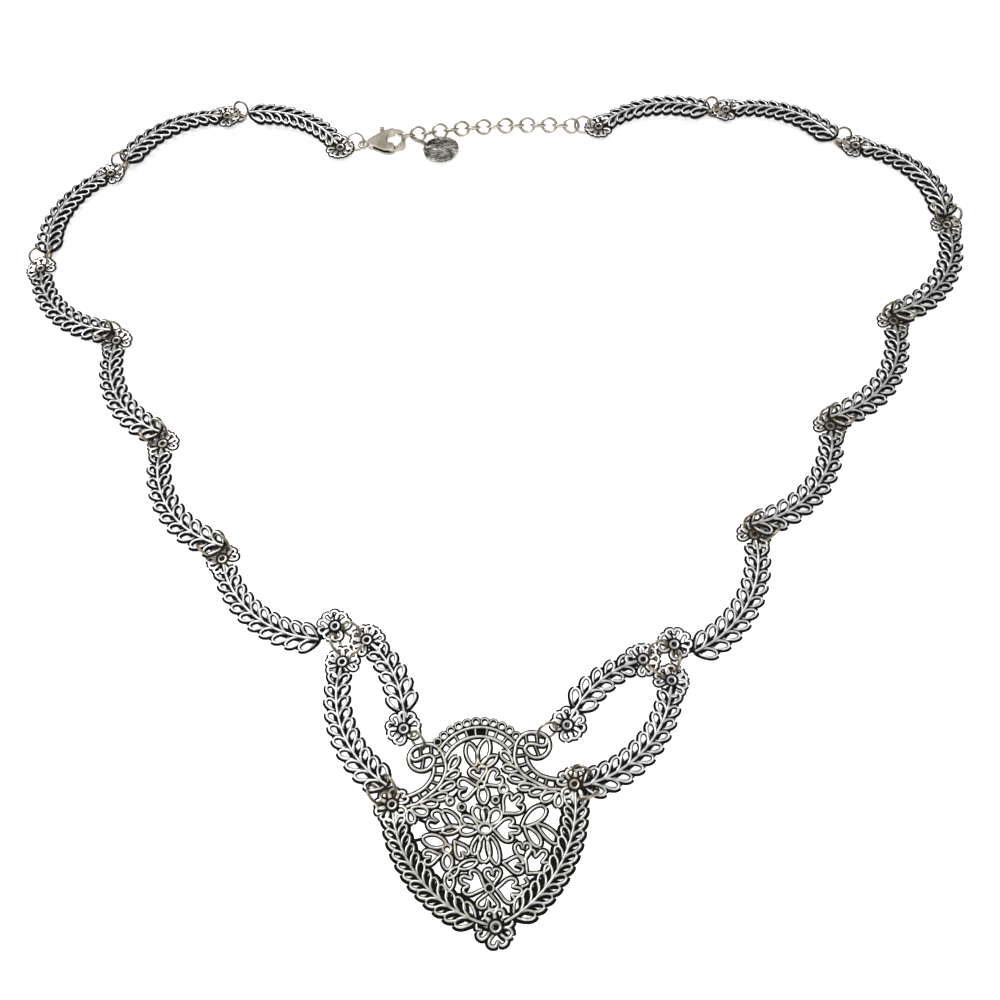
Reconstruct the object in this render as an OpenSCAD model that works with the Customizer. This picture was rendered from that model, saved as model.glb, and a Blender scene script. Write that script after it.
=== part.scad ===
// Cast filigree necklace, laid flat as a closed loop: leaf links on jump
// rings, two strands a side and an openwork pendant, closed by a trigger
// clasp and a fine extension chain. The pendant points to -Y, the clasp is
// at +Y, and everything rests on z = 0.

/* [Links] */
// Thickness of the cast leaf plates
plate_h = 1.1; // [0.9:0.05:1.2]
// Radius of the curved spine of a link
spine_r = 20.5; // [19:0.5:24]
// Width of the spine bar
spine_w = 0.9; // [0.7:0.05:1.1]
// Leaves on each side of a long link
leaf_count = 10; // [9:1:11]
// Length of the leaf next to the flower, to the middle of its rim
leaf_first = 2.7; // [2.5:0.1:2.9]
// Length of the leaf at the tail
leaf_last = 3.7; // [3.5:0.1:3.9]
// Width of the leaf next to the flower, between the middles of its rim
leaf_first_w = 1.3; // [1.2:0.1:1.5]
// Width of the leaf at the tail
leaf_last_w = 1.6; // [1.5:0.1:1.8]
// Width of the metal rim around an opening
rim = 0.78; // [0.7:0.02:0.8]
// Lift of a tail that lies over the next flower, in degrees
tail_lift = 3; // [2.8:0.1:3.2]

/* [Flowers] */
// Outer radius of a flower
flower_r = 2.9; // [2.7:0.05:3]
// Radius of the raised hub
hub_r = 0.85; // [0.75:0.05:0.9]
// Radius of the blind hole in the hub
hub_hole_r = 0.45; // [0.4:0.05:0.5]
// Underside of the flower above the table
flower_lift = 0.6; // [0.55:0.05:0.65]

/* [Rings] */
// Mean radius of a jump ring
ring_r = 1.7; // [1.65:0.01:1.75]
// Wire diameter of a jump ring
ring_wire = 0.5; // [0.4:0.02:0.52]

/* [Pendant] */
// Thickness of the pendant
pendant_h = 1.2; // [1.1:0.05:1.3]
// Leaves on each side of a border branch
border_count = 12; // [10:1:13]

/* [Clasp and chain] */
// Thickness of the clasp
clasp_h = 1.8; // [1.7:0.05:1.9]
// Outer radius of the clasp's eye
clasp_eye = 3.0; // [2.95:0.05:3.05]
// Outside width of the extension chain
chain_d = 2.6; // [2.2:0.1:3]
// Sideways bow of the extension chain
chain_bow = 1.2; // [0:0.1:3]
// Diameter of the round tag
tag_d = 7.7; // [7:0.1:8]

/* [Hidden] */
metal = [0.42, 0.42, 0.41];
silver = [0.72, 0.69, 0.64];

// Where the links lie, read in the view of the necklace from the front, 1000
// units wide and high, clasp end first. Columns: right and down of the middle
// of the head flower, right and down of the other end of the spine.
LEFT_VIEW = [
  [340.0, 147.0, 249.6, 113.6], [226.9, 115.4, 125.7, 162.0],
  [110.4, 172.7,  48.3, 252.3], [ 40.7, 268.4, 111.9, 331.9],
  [116.3, 340.6, 160.4, 433.5], [162.7, 443.7, 224.1, 547.6],
  [222.2, 558.7, 334.9, 625.9]];
RIGHT_VIEW = [
  [599.0, 126.0, 708.6, 110.5], [726.4, 109.0, 833.8, 138.4],
  [856.0, 145.0, 945.3, 216.1], [946.8, 224.6, 893.1, 314.4],
  [893.7, 320.7, 829.5, 418.5], [830.3, 426.0, 751.0, 525.7],
  [754.6, 534.1, 674.3, 644.3]];
// Strands below the junctions: outer long ones, inner short ones
OUTER_VIEW = [[342.3, 662.0, 387.4, 786.2], [671.4, 680.5, 583.0, 786.5]];
INNER_VIEW = [[366.7, 639.9, 403.7, 728.7], [643.1, 659.2, 567.3, 724.9]];
// The view: length of its rays to the picture in picture units, eye above the
// table, place of the eye, angle below the horizon, roll
view_f = 1300;
view_h = 214;
view_at = [-3.4, -126];
view_down = 62.2;
view_roll = -6.42;
// Height of a flower's top and of a lifted tail, where they were read
flower_top = 1.2;
tail_top = 2.2;
// A point of the view brought down to height h over the table
function on_table(p, h) = let (
  q = rot2([p[0] - 500, 500 - p[1]]/view_f, view_roll),
  fall = sin(view_down) - q[1]*cos(view_down))
  view_at + (view_h - h)/fall*[q[0], cos(view_down) + q[1]*sin(view_down)];
// Placement of a link. Columns: x and y of the head flower, heading of the
// chord from the flower to the other end, chord length. The convex side of a
// left link is on its right hand, of a right link on its left.
function laid(v, h) = let (p = on_table([v[0], v[1]], flower_top), d = on_table([v[2], v[3]], h) - p)
  [p[0], p[1], ang(d), norm(d)];
LEFT = [for (k = [0:6]) laid(LEFT_VIEW[k], k < 6 ? tail_top : flower_top)];
RIGHT = [for (k = [0:6]) laid(RIGHT_VIEW[k], k < 6 ? tail_top : flower_top)];
OUTER = [for (v = OUTER_VIEW) laid(v, tail_top)];
INNER = [for (v = INNER_VIEW) laid(v, flower_top)];
// Middle of the pendant's daisy, the origin of its own tables
PEND = [-11.6, -72.0];

// Sizes of leaves, petals and motifs run along the middle of the rim.
// Petals of a link's flower. Columns: direction from the spine, towards
// the convex side, reach from the middle, width, 1 for a heart.
PETALS = [[ 60, 2.85, 2.5, 1], [112, 2.7, 1.55, 0], [144, 2.7, 1.5, 0],
          [180, 2.7, 1.6, 0], [-140, 2.7, 1.6, 0], [-102, 2.7, 1.6, 0],
          [-57, 2.75, 2.2, 1]];
// Petals of a flower at the far end of a strand, same columns
PETALS_END = [[ 35, 2.85, 2.6, 1], [-35, 2.85, 2.6, 1], [ 90, 2.7, 1.8, 0],
              [-90, 2.7, 1.8, 0], [136, 2.7, 1.75, 0], [-136, 2.7, 1.75, 0]];
petal_at = 0.5;

function unit(v) = v / norm(v);
function rot2(p, a) = [p[0]*cos(a) - p[1]*sin(a), p[0]*sin(a) + p[1]*cos(a)];
function ang(v) = atan2(v[1], v[0]);
function lerp(a, b, t) = a + (b - a)*t;
// Outline of a leaf or petal: pointed root at x = 0, round end at x = len
function drop(len, wid, n = 12) = [for (i = [0:n-1]) let (a = 360*i/n)
  [len*(1 - cos(a))/2, wid*0.61*sin(a)*pow(sin(a/2), 0.7)]];
// The same with a notch in its round end
function heart(len, wid, notch, n = 18) = [for (i = [0:n-1])
  let (a = 360*i/n, q = (a - 180)/34)
  [len*(1 - cos(a))/2 - notch*exp(-q*q), wid*0.61*sin(a)*pow(sin(a/2), 0.5)]];
// Curved strip about the origin from angle a to angle b
function band(r0, r1, a, b, n = 12) = concat(
  [for (i = [0:n]) r1*[cos(lerp(a, b, i/n)), sin(lerp(a, b, i/n))]],
  [for (i = [n:-1:0]) r0*[cos(lerp(a, b, i/n)), sin(lerp(a, b, i/n))]]);
// Closed strip of width w along a row of points
function strip(p, w) = let (n = len(p) - 1,
  t = [for (i = [0:n]) unit(p[min(i+1, n)] - p[max(i-1, 0)])]) concat(
  [for (i = [0:n]) p[i] + w/2*[-t[i][1], t[i][0]]],
  [for (i = [n:-1:0]) p[i] - w/2*[-t[i][1], t[i][0]]]);

// Pointed leaf
function lens(len, wid, n = 12) = [for (i = [0:n-1]) let (a = 360*i/n, q = sin(a))
  [len*(1 - cos(a))/2, wid*0.53*sign(q)*pow(abs(q), 1.35)]];
// Half outline of a three-lobed petal. Columns: shares of length and width
CLOVER = [[0.02, 0.02], [0.16, 0.20], [0.36, 0.42], [0.55, 0.50], [0.68, 0.46],
  [0.74, 0.33], [0.64, 0.19], [0.78, 0.17], [0.94, 0.12]];
function clover(len, wid) = concat([for (p = CLOVER) [p[0]*len, p[1]*wid]],
  [[len, 0]], [for (k = [8:-1:0]) [CLOVER[k][0]*len, -CLOVER[k][1]*wid]]);
// kind: 0 drop, 1 heart, 2 pointed, 3 three-lobed; notch: where the notch of
// a heart lies, as a share of its length
function outline(kind, len, wid, notch) = kind == 1 ? heart(len, wid, (1 - notch)*len)
  : kind == 2 ? lens(len, wid) : kind == 3 ? clover(len, wid) : drop(len, wid);
// Curves an outline sideways; b is the angle at its far end
function bent(p, b, len) = b == 0 ? p : let (k = b/len, r = 180/PI/k)
  [for (q = p) let (a = k*q[0]) [(r - q[1])*sin(a), r - (r - q[1])*cos(a)]];
function moved(p, s) = [for (q = p) [q[0] + s, q[1]]];

// One motif in plan: solid outline, and its opening
module solid_of(len, wid, kind, b = 0, notch = 0.7) {
  polygon(bent(outline(kind, len + 0.54*rim, wid + 1.08*rim, lerp(notch, 1, 0.35)), b, len));
}
module hole_of(len, wid, kind, b = 0, notch = 0.7) {
  s = (kind == 3 ? 0.2 : 0.27)*len; l = len - s - 0.5*rim; w = wid - 0.92*rim;
  if (w > 0.3) polygon(bent(moved(outline(kind, l, w, notch - 0.08), s), b, len));
}

// Spine of a link: an arc over its chord
function half(len) = asin(len/2/spine_r);
function spine(len, s) = let (a = 90 + half(len) - s/spine_r*180/PI)
  [len/2 + spine_r*cos(a), spine_r*(sin(a) - cos(half(len)))];
function spine_dir(len, s) = half(len) - s/spine_r*180/PI;
function arc_len(len) = 2*half(len)*PI/180*spine_r;
// Leaf i of a link that bears n of them: root on the spine, counted from
// the flower; g is 1 on the convex side and -1 on the other
function leaf_s(len, n, i, s0, s1) = lerp(s0, s1, i/(n - 1));
function leaf_dir(len, s, g) = spine_dir(len, s) + 180 - g*(g > 0 ? 29 : 36);
function leaf_l(n, i) = lerp(leaf_first, leaf_last, i/(n - 1));
function leaf_w(n, i) = lerp(leaf_first_w, leaf_last_w, i/(n - 1));

module leaves2d(len, n, s0, s1, opening) {
  for (i = [0:n-1], g = [-1, 1]) let (s = leaf_s(len, n, i, s0, s1))
    translate(spine(len, s)) rotate(leaf_dir(len, s, g)) {
      if (opening) hole_of(leaf_l(n, i), leaf_w(n, i), 0, -8*g);
      else solid_of(leaf_l(n, i), leaf_w(n, i), 0, -8*g);
    }
}
module petals2d(t, opening) {
  for (p = t) rotate(p[0]) translate([petal_at, 0]) {
    if (opening) hole_of(p[1] - petal_at, p[2], p[3]);
    else solid_of(p[1] - petal_at - 0.1, p[2] - 0.2, p[3]);
  }
}
// Round places where a jump ring goes through a petal
module eyes2d(dirs, r) { for (a = dirs) rotate(a) translate([eye_at, 0]) circle(r, $fn = 24); }
eye_at = 2.05;
eye_r = 0.5;

// Plan of a link: root flower at the origin, tail at [len, 0]; the branch
// can be cut short and turned about the flower
module link2d(len, n, s0, s1, sa, sb, cut = 0, turn = 0) {
  difference() {
    union() {
      rotate(turn) leaves2d(len - cut, n, s0, s1, false);
      petals2d(PETALS, false);
    }
    rotate(turn) leaves2d(len - cut, n, s0, s1, true);
    petals2d(PETALS, true);
    eyes2d([112, 144, 180, -140, -102], eye_r - 0.02);
  }
  rotate(turn) polygon(strip([for (k = [0:10]) spine(len - cut, lerp(sa, sb, k/10))], spine_w));
}
module hub(z0) {
  difference() {
    translate([0, 0, z0]) cylinder(r = hub_r, h = plate_h + 0.25 - z0, $fn = 32);
    translate([0, 0, plate_h - 0.2]) cylinder(r = hub_hole_r, h = 1, $fn = 24);
  }
}
// A link with a flower at its head only; its tail is thinner underneath,
// because it lies over the next flower
module tail_link(len, eye) {
  a = arc_len(len);
  difference() {
    linear_extrude(height = plate_h) link2d(len, leaf_count, 4.4, a - 0.1, 1.2, a);
    translate([0, 0, -1]) cylinder(r = flower_r + 0.3, h = 1 + flower_lift, $fn = 48);
    translate([len - 5.6, -6, -1]) cube([12, 12, 1.4]);
    for (e = eye) translate([e[0], e[1], -1]) cylinder(r = eye_r, h = 4, $fn = 24);
  }
  hub(flower_lift);
}
// A link with a flower at both ends, lying flat. On the last link of a side
// the branch ends beside the far flower.
branch_cut = 0.85;
branch_turn = 8.2;
module flower_link(len, n, eyes_a, eyes_b) {
  long = n > 6;
  cut = long ? branch_cut : 0; turn = long ? branch_turn : 0;
  a = arc_len(len - cut);
  tip = rot2(spine(len - cut, a - 0.3), turn);
  difference() {
    linear_extrude(height = plate_h) difference() {
      union() {
        link2d(len, n, long ? 4.4 : 4.6, long ? a - 0.1 : a - 3.2, 1.2, long ? a : a - 1.2, cut, turn);
        if (long) polygon(strip([tip, lerp(tip, [len, 0], 0.6)], spine_w));
        difference() {
          translate([len, 0]) rotate(180) petals2d(PETALS_END, false);
          translate([len, 0]) rotate(180) petals2d(PETALS_END, true);
        }
      }
      for (e = eyes_a) translate(e) circle(eye_r, $fn = 24);
      for (e = eyes_b) translate(e) circle(eye_r, $fn = 24);
    }
    translate([0, 0, -1]) cylinder(r = flower_r + 0.3, h = 1 + flower_lift, $fn = 48);
    translate([len, 0, -1]) cylinder(r = flower_r + 0.3, h = 1 + flower_lift, $fn = 48);
  }
  hub(flower_lift);
  translate([len, 0, 0]) hub(flower_lift);
}

// Where a point of a link lies on the table; side -1 is the left chain
function lift_of(row, p, up) = let (x = p[0]*cos(up) - p[2]*sin(up))
  p[0]*sin(up) + p[2]*cos(up);
function place(row, side, p, up = 0) = let (
  x = p[0]*cos(up) - p[2]*sin(up), q = rot2([x, side*p[1]], row[2]))
  [row[0] + q[0], row[1] + q[1]];
module put(row, side, up = 0) {
  translate([row[0], row[1], 0]) rotate([0, 0, row[2]])
    mirror([0, side < 0 ? 1 : 0, 0]) rotate([0, -up, 0]) children();
}

// Jump ring through a hole at b, at height zb, and one at a, at height za.
// It leans by lean degrees from the table, its top to the left of b to a
// when g is 1.
function ring_zc(r, lean) = r*sin(lean) + ring_wire/2 + 0.02;
function ring_t(r, lean, z) = asin((z - ring_zc(r, lean))/(r*sin(lean)));
function reach(r, lean, za, zb) = let (ta = ring_t(r, lean, za), tb = ring_t(r, lean, zb))
  r*[cos(ta) + cos(tb), (sin(ta) - sin(tb))*cos(lean)];
function ring_pose(b, a, zb, za, lean, g, r = ring_r) = let (
  v = reach(r, lean, za, zb), tb = ring_t(r, lean, zb),
  ua = ang(a - b) - g*atan2(v[1], v[0]), u = [cos(ua), sin(ua)], w = g*[-u[1], u[0]],
  c = b + r*cos(tb)*u - r*sin(tb)*cos(lean)*w)
  [c[0], c[1], ring_zc(r, lean), ua, g > 0 ? lean : 180 - lean];
module ring(q, r = ring_r, wire = ring_wire) {
  translate([q[0], q[1], q[2]]) rotate([0, 0, q[3]]) rotate([q[4], 0, 0])
    rotate_extrude($fn = 48) translate([r, 0]) circle(d = wire, $fn = 16);
}

// The ring on side g of a joint: it looks for the petal eye and the place
// in the last leaf whose distance suits the ring
tail_zb = flower_lift + (plate_h - flower_lift)/2;
function leaf_eye(len, g, f, j) = let (a = arc_len(len), s = leaf_s(len, leaf_count, leaf_count - 1 - j, 4.4, a - 0.1),
  l = leaf_l(leaf_count, leaf_count - 1 - j)) spine(len, s) + f*l*[cos(leaf_dir(len, s, g)), sin(leaf_dir(len, s, g))];
function tail_za(p) = p[0]*sin(tail_lift) + 0.75;
function joint_try(row, next, side, nside, g, lean, eyes) = [
  for (e = eyes, j = [0, 1], f = [0.42:0.02:0.78]) let (
    p = leaf_eye(row[3], g, f, j), a = place(row, side, [p[0], p[1], 0.75], tail_lift),
    b = place(next, nside, [eye_at*cos(e), eye_at*sin(e), 0]),
    d = norm(a - b), v = reach(ring_r, lean, tail_za(p), tail_zb), n = unit([next[0], next[1]] - [row[0], row[1]]),
    m = [-n[1], n[0]], off = side*g*((b - [next[0], next[1]])*m), run = (a - b)*n)
  [abs(d - norm(v)) + (off < 0.5 ? 5 : 0) + (run > -1.2 ? 5 : 0) + 0.05*abs(f - 0.58) + 0.15*j, e, j, f, a, b, tail_za(p), p]];
function best(t) = let (m = min([for (q = t) q[0]])) [for (q = t) if (q[0] == m) q][0];
function eyes_for(g) = g > 0 ? [112, 143, 180] : [-140, -102];
function joint_pick(row, next, side, g) = best(joint_try(row, next, side, side, g, g > 0 ? 58 : 72, eyes_for(g)));
function joint_ring(row, next, side, g) = let (k = joint_pick(row, next, side, g))
  ring_pose(k[5], k[4], tail_zb, k[6], g > 0 ? 58 : 72, -side*g);
module joint_rings(t, i, side) { color(silver) for (g = [1, -1]) ring(joint_ring(t[i], t[i+1], side, g)); }
// Room that a casting leaves around the rings that pass through it
room = ring_wire + 0.2;
module chain_link(t, i, side) {
  color(metal) difference() {
    put(t[i], side, tail_lift)
      tail_link(t[i][3], [for (g = [1, -1]) joint_pick(t[i], t[i+1], side, g)[7]]);
    for (g = [1, -1]) ring(joint_ring(t[i], t[i+1], side, g), ring_r, room);
    if (i > 0) for (g = [1, -1]) ring(joint_ring(t[i-1], t[i], side, g), ring_r, room);
    else if (side < 0) ring(clasp_pose, clasp_ring_r, room);
    else ring(end_pose, ring_r, room);
  }
}

// Three flowers of a junction and the eyes for their rings
flat_z = tail_zb;
flat_reach = norm(reach(ring_r, 66, flat_z, flat_z));
function far(row) = [row[0], row[1]] + rot2([row[3], 0], row[2]);
function near(row) = [row[0], row[1]];
function trio(i) = [far(i == 0 ? LEFT[6] : RIGHT[6]), near(INNER[i]), near(OUTER[i])];
function eye_between(p, q) = p + unit(q - p)*(norm(q - p) - flat_reach)/2;
function local(row, side, p) = let (q = rot2(p - [row[0], row[1]], -row[2])) [q[0], side*q[1]];
module trio_rings(i, wire = ring_wire) {
  t = trio(i); m = (t[0] + t[1] + t[2])/3;
  for (k = [0:2]) let (p = t[k], q = t[(k+1)%3], a = eye_between(p, q), b = eye_between(q, p),
    n = [-(b - a)[1], (b - a)[0]], g = (n*((a + b)/2 - m) > 0) ? 1 : -1)
    ring(ring_pose(a, b, flat_z, flat_z, 66, g), ring_r, wire);
}
module junction_rings(i) { color(silver) trio_rings(i); }
function junction_eyes(i, k) = [for (m = [1, 2]) eye_between(trio(i)[k], trio(i)[(k+m)%3])];
module last_link(i) {
  row = i == 0 ? LEFT[6] : RIGHT[6]; side = i == 0 ? -1 : 1;
  t = i == 0 ? LEFT : RIGHT;
  color(metal) difference() {
    put(row, side) flower_link(row[3], leaf_count, [],
      [for (e = junction_eyes(i, 0)) local(row, side, e)]);
    for (g = [1, -1]) ring(joint_ring(t[5], t[6], side, g), ring_r, room);
    trio_rings(i, room);
  }
}
module strand_inner(i) {
  row = INNER[i]; side = i == 0 ? 1 : -1;
  color(metal) difference() {
    put(row, side) flower_link(row[3], 5,
      [for (e = junction_eyes(i, 1)) local(row, side, e)], [local(row, side, scroll_eye(i, 0))]);
    trio_rings(i, room);
    ring(scroll_pose(i), ring_r, room);
  }
}
module strand_outer(i) {
  row = OUTER[i]; side = i == 0 ? -1 : 1;
  color(metal) difference() {
    put(row, side, tail_lift) tail_link(row[3],
      concat([for (g = [1, -1]) corner_pick(i, g)[7]],
        [for (e = junction_eyes(i, 2)) local(row, side, e)]));
    trio_rings(i, room);
    for (g = [1, -1]) ring(corner_pose(i, g), ring_r, room);
  }
}

/* Pendant */
// Flowers at the upper corners of the pendant. Columns: x, y
CORNERS = [[-15.1, 3.8], [15.2, 3.8]];
function corner_row(i) = [PEND[0] + CORNERS[i][0], PEND[1] + CORNERS[i][1], 0];
CORNER_EYES = [for (a = [0:12:348]) a];
function corner_pick(i, g) = best(joint_try(OUTER[i], corner_row(i), i == 0 ? -1 : 1, 1, g, g > 0 ? 58 : 72, CORNER_EYES));
function corner_pose(i, g) = let (k = corner_pick(i, g))
  ring_pose(k[5], k[4], tail_zb, k[6], g > 0 ? 58 : 72, (i == 0 ? 1 : -1)*g);
module corner_rings(i) { color(silver) for (g = [1, -1]) ring(corner_pose(i, g)); }
SCROLL_AT = [[-9.7, 12.7], [10.7, 12.4]];
function scroll_eye(i, k) = let (p = far(INNER[i]), q = PEND + SCROLL_AT[i]) p + unit(q - p)*(k == 0 ? norm(q - p) - flat_reach : norm(q - p));
function scroll_pose(i) = ring_pose(scroll_eye(i, 0), scroll_eye(i, 1), flat_z, flat_z, 66, i == 0 ? 1 : -1);
module scroll_ring(i) { color(silver) ring(scroll_pose(i)); }
// Petals of the corner flowers (right one; the left one is its mirror image)
// and of the bottom flower, columns as in PETALS
PETALS_CORNER = [[-35, 2.8, 2.3, 1], [10, 2.7, 1.5, 0], [55, 2.7, 1.6, 0],
                 [100, 2.7, 1.6, 0], [150, 2.8, 2.0, 1], [-82, 2.7, 1.6, 0], [-140, 2.7, 1.5, 0]];
PETALS_BOTTOM = [[113, 2.8, 1.5, 0], [69, 2.8, 1.5, 0], [18, 2.8, 1.6, 0], [-33, 2.8, 1.5, 0],
                 [-88, 2.9, 2.8, 1], [186, 3.0, 2.7, 1], [150, 2.5, 1.3, 0]];
// The floral middle. Columns: kind as in outline(); x and y of the root;
// direction; length; width; bend; notch
MOTIFS = [
  // leaves under the arch
  [2, -0.9, 8.8, 101, 4.15, 1.7, 0, 0.7], [2, 0, 9, 70, 4.45, 1.8, 0, 0.7],
  [2, 0.1, 8.6, 28, 3.1, 1.3, 0, 0.7],
  // upper flower
  [1, -0.3, 6.2, 97, 2.4, 3, 0, 0.65], [1, 0.35, 5.5, 27, 3, 3, 0, 0.72],
  [1, -0.85, 5.25, 182, 3.2, 3.5, 0, 0.58], [2, -0.1, 5.3, -88, 3, 1.6, 0, 0.7],
  // clover and daisy
  [3, 3.1, 0.4, 40, 4.1, 3.9, 0, 0.7], [0, -1.4, -1.2, 146, 3, 1.5, 0, 0.7],
  [0, -0.5, -0.9, 110, 3.1, 1.75, 0, 0.7], [0, 0, -0.9, 87, 2.6, 1.2, 0, 0.7],
  [0, 0.5, -1.3, 51, 3, 1.9, 0, 0.7], [0, -1.4, -1.9, 174, 3, 1.6, 0, 0.7],
  [0, -0.5, -2.9, 264, 4.3, 2, 0, 0.7],
  [0, -1.3, -2.8, 247, 3.2, 1.3, 0, 0.7],
  [2, 0.35, -3.1, 280, 4.8, 1.6, 0, 0.7], [3, 1.15, -2.05, -8, 4.3, 3.8, 0, 0.7],
  // left of the daisy
  [2, -4.3, -1.2, 130, 4, 1.6, 0, 0.7], [1, -5.85, -0.9, 150, 3.8, 3.3, 0, 0.62],
  [2, -4.4, -1.2, 186, 2.9, 1.1, 0, 0.7],
  // three leaves right of it
  [0, 5.8, -2.1, 33, 4.9, 2.3, 0, 0.7],
  [0, 6.2, -2.1, -52, 4.1, 1.7, -15, 0.7],
  [0, 8.2, -1.9, -42, 4.7, 1.6, -14, 0.7],
  // left flower
  [2, -6.8, -3.6, 160, 4, 1.9, 0, 0.7],
  [1, -7.8, -5.2, 186, 2.8, 2.4, 0, 0.6],
  [1, -5.4, -3.3, -60, 3, 2.2, 0, 0.7], [2, -6.8, -5.1, -91, 2.6, 1.5, 0, 0.7],
  // leaves below it
  [2, -5.1, -7.6, 13, 3.2, 1.2, 0, 0.7], [2, -6.9, -9, 40, 2.3, 1, 0, 0.7],
  [2, -6.8, -10.9, 90, 2.7, 1.4, 0, 0.7],
  // lower flower
  [3, -1.2, -11.2, 153, 4.2, 4, 0, 0.7],
  [1, 0.2, -10.9, 88, 2.5, 2.6, 0, 0.62],
  [3, 0.7, -11.6, -12, 4.1, 3.9, 0, 0.7],
  [1, -0.6, -12, 258, 2.6, 3.4, 0, 0.42],
  // hearts right of it
  [1, 2.2, -7.6, -14, 3.3, 2.8, 0, 0.6], [1, 5.4, -7.8, 86, 3, 2.6, 0, 0.72],
  [3, 5.9, -9.6, 43, 4.5, 4.3, 0, 0.7]];
// Small rings and hubs in it. Columns: x, y, outer radius, hole radius, 1
// for a hub with a blind hole
DOTS = [
  [-5.6, 3.4, 0.75, 0.3, 0], [-3.75, 2.1, 0.7, 0.4, 1],
  [1.95, 2.7, 0.7, 0.35, 1], [3.4, 4.4, 0.88, 0.45, 0],
  [-0.25, 5.5, 0.8, 0.4, 1], [-6.75, -4.35, 0.85, 0.45, 0],
  [-0.45, -11.4, 0.85, 0.5, 1]];
// Eye of the daisy in the middle. Columns: x, y, half width, half height
DAISY = [-0.27, -1.83, 1.5, 1.2];
// Short bars that tie the motifs together. Columns: x, y, x, y of its ends
TIES = [
  [-5.1, 4.0, -3.9, 5.0], [1.2, 3.2, 0.8, 3.6], [2.4, 3.2, 3.0, 3.8],
  [-3.3, 1.6, -2.5, 0.6], [-9.6, 0.2, -11.0, 1.0], [9.8, 0.9, 11.6, 1.6],
  [-10.6, -2.2, -12.2, -2.4], [11.3, -4.6, 12.6, -4.6],
  [-10.4, -6.2, -11.2, -7.0], [9.7, -8.0, 11.0, -8.4],
  [-7.0, -10.6, -7.4, -11.6], [-4.9, -11.6, -5.6, -12.8],
  [4.9, -12.2, 5.4, -13.2], [0.0, -14.0, 0.1, -15.2], [-1.8, 12.8, -1.9, 13.6],
  [1.6, 13.0, 1.7, 13.5], [0.2, 2.4, 0.4, 1.7], [3.2, 0.4, 2.4, 0.8],
  [1.4, -7.7, 2.1, -7.8], [1.4, -7.8, 0.8, -8.4], [5.2, -4.9, 4.6, -4.0],
  [6.6, -5.0, 7.8, -5.3], [-5.4, -7.4, -6.2, -7.2], [4.7, -9.2, 6.2, -9.35],
  [-5.7, -3.4, -4.4, -2.4], [6.2, -2.1, 8.3, -1.9]];
// Leaves along the inside of the scrolls. Columns: x and y of the root,
// direction, length, width
FRINGE = [
  [5.4, 8.6, 132, 2.7, 1.25], [6.2, 7.3, 165, 2.6, 1.25],
  [7.3, 5.4, 165, 2.9, 1.25], [8.9, 4.2, 178, 3, 1.25],
  [10.5, 3.5, 187, 2.9, 1.35], [12.1, 2.9, 205, 2.9, 1.5],
  [12.5, 2.7, 262, 2.3, 1.35]];
// Middle lines of a scroll's two rails, right-hand side: from the corner
// flower up to the wheel
RAIL_IN = [[12.9, 3.2], [12.0, 3.4], [11.1, 3.5], [10.1, 4.1], [8.7, 5.0],
  [7.55, 5.85], [6.75, 6.7], [6.15, 7.75], [5.8, 8.85], [5.85, 10.0]];
RAIL_OUT = [[13.1, 4.9], [11.9, 5.1], [10.85, 5.45], [9.75, 6.0], [8.8, 6.9],
  [8.25, 7.7], [7.9, 8.6], [7.8, 9.4]];
// Wheel of the scroll: the inner rail swings out to it and goes round it
// clockwise, from the left side over the top and the right side
wheel_at = [9.75, 11.15];
wheel_r = 2.15;
swing_r = 3.75;
function wheel() = [for (a = [186:-12:-168]) wheel_at
  + lerp(swing_r, wheel_r, min(1, (186 - a)/96))*[cos(a), sin(a)]];
// Curl inside the wheel
RAIL_CURL = [[7.7, 10.9], [8.3, 11.5], [9.25, 11.45], [10.25, 11.05], [10.9, 10.95],
  [11.4, 11.3], [11.55, 12.0]];
// Bars between the rails. Columns: x, y, x, y of its ends
CELLS = [
  [12.0, 3.4, 12.3, 5.05], [10.2, 4.0, 10.8, 5.45], [8.6, 5.0, 9.5, 6.15],
  [7.0, 6.3, 8.6, 7.1], [6.05, 7.95, 8.0, 8.3], [5.85, 9.75, 7.75, 9.75],
  [6.1, 11.5, 7.8, 11.0], [8.1, 11.5, 8.05, 13.1], [9.9, 11.3, 9.9, 13.3],
  [9.4, 11.2, 9.95, 9.1]];
// Arch over the flowers: centre, radii of its rails and of the scallops,
// directions of its bars
ARCH = [-0.4, 7.65];
arch_r = [6.2, 7.8, 8.85];
ARCH_BARS = [33, 46, 60.5, 74, 89.5, 102, 117, 131, 144];
// Directions between which the cells of the arch are filled
ARCH_FILL = [74, 102];

module branch2d(opening) {
  n = border_count; r = 22; len = 26;
  h = asin(len/2/r); a = 2*h*PI/180*r;
  for (i = [0:n-1], g = [-1, 1]) let (s = lerp(4.4, a - 3.2, i/(n - 1)), q = 90 + h - s/r*180/PI)
    translate([len/2 + r*cos(q), r*(sin(q) - cos(h))]) rotate(q + 90 - g*(g > 0 ? 25 : 35)) {
      if (opening) hole_of(lerp(2.8, 3.4, i/n), lerp(1.2, 1.4, i/n), 0, -8*g);
      else solid_of(lerp(2.8, 3.4, i/n), lerp(1.2, 1.4, i/n), 0, -8*g);
    }
  if (!opening) polygon(strip([for (k = [0:12]) let (q = 90 + h - lerp(1.6, a - 1.6, k/12)/r*180/PI)
    [len/2 + r*cos(q), r*(sin(q) - cos(h))]], spine_w));
}
module on_both_sides() { children(); mirror([1, 0]) children(); }
module branches2d(opening) {
  on_both_sides() translate(CORNERS[1]) rotate(-125.4) branch2d(opening);
}
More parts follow.
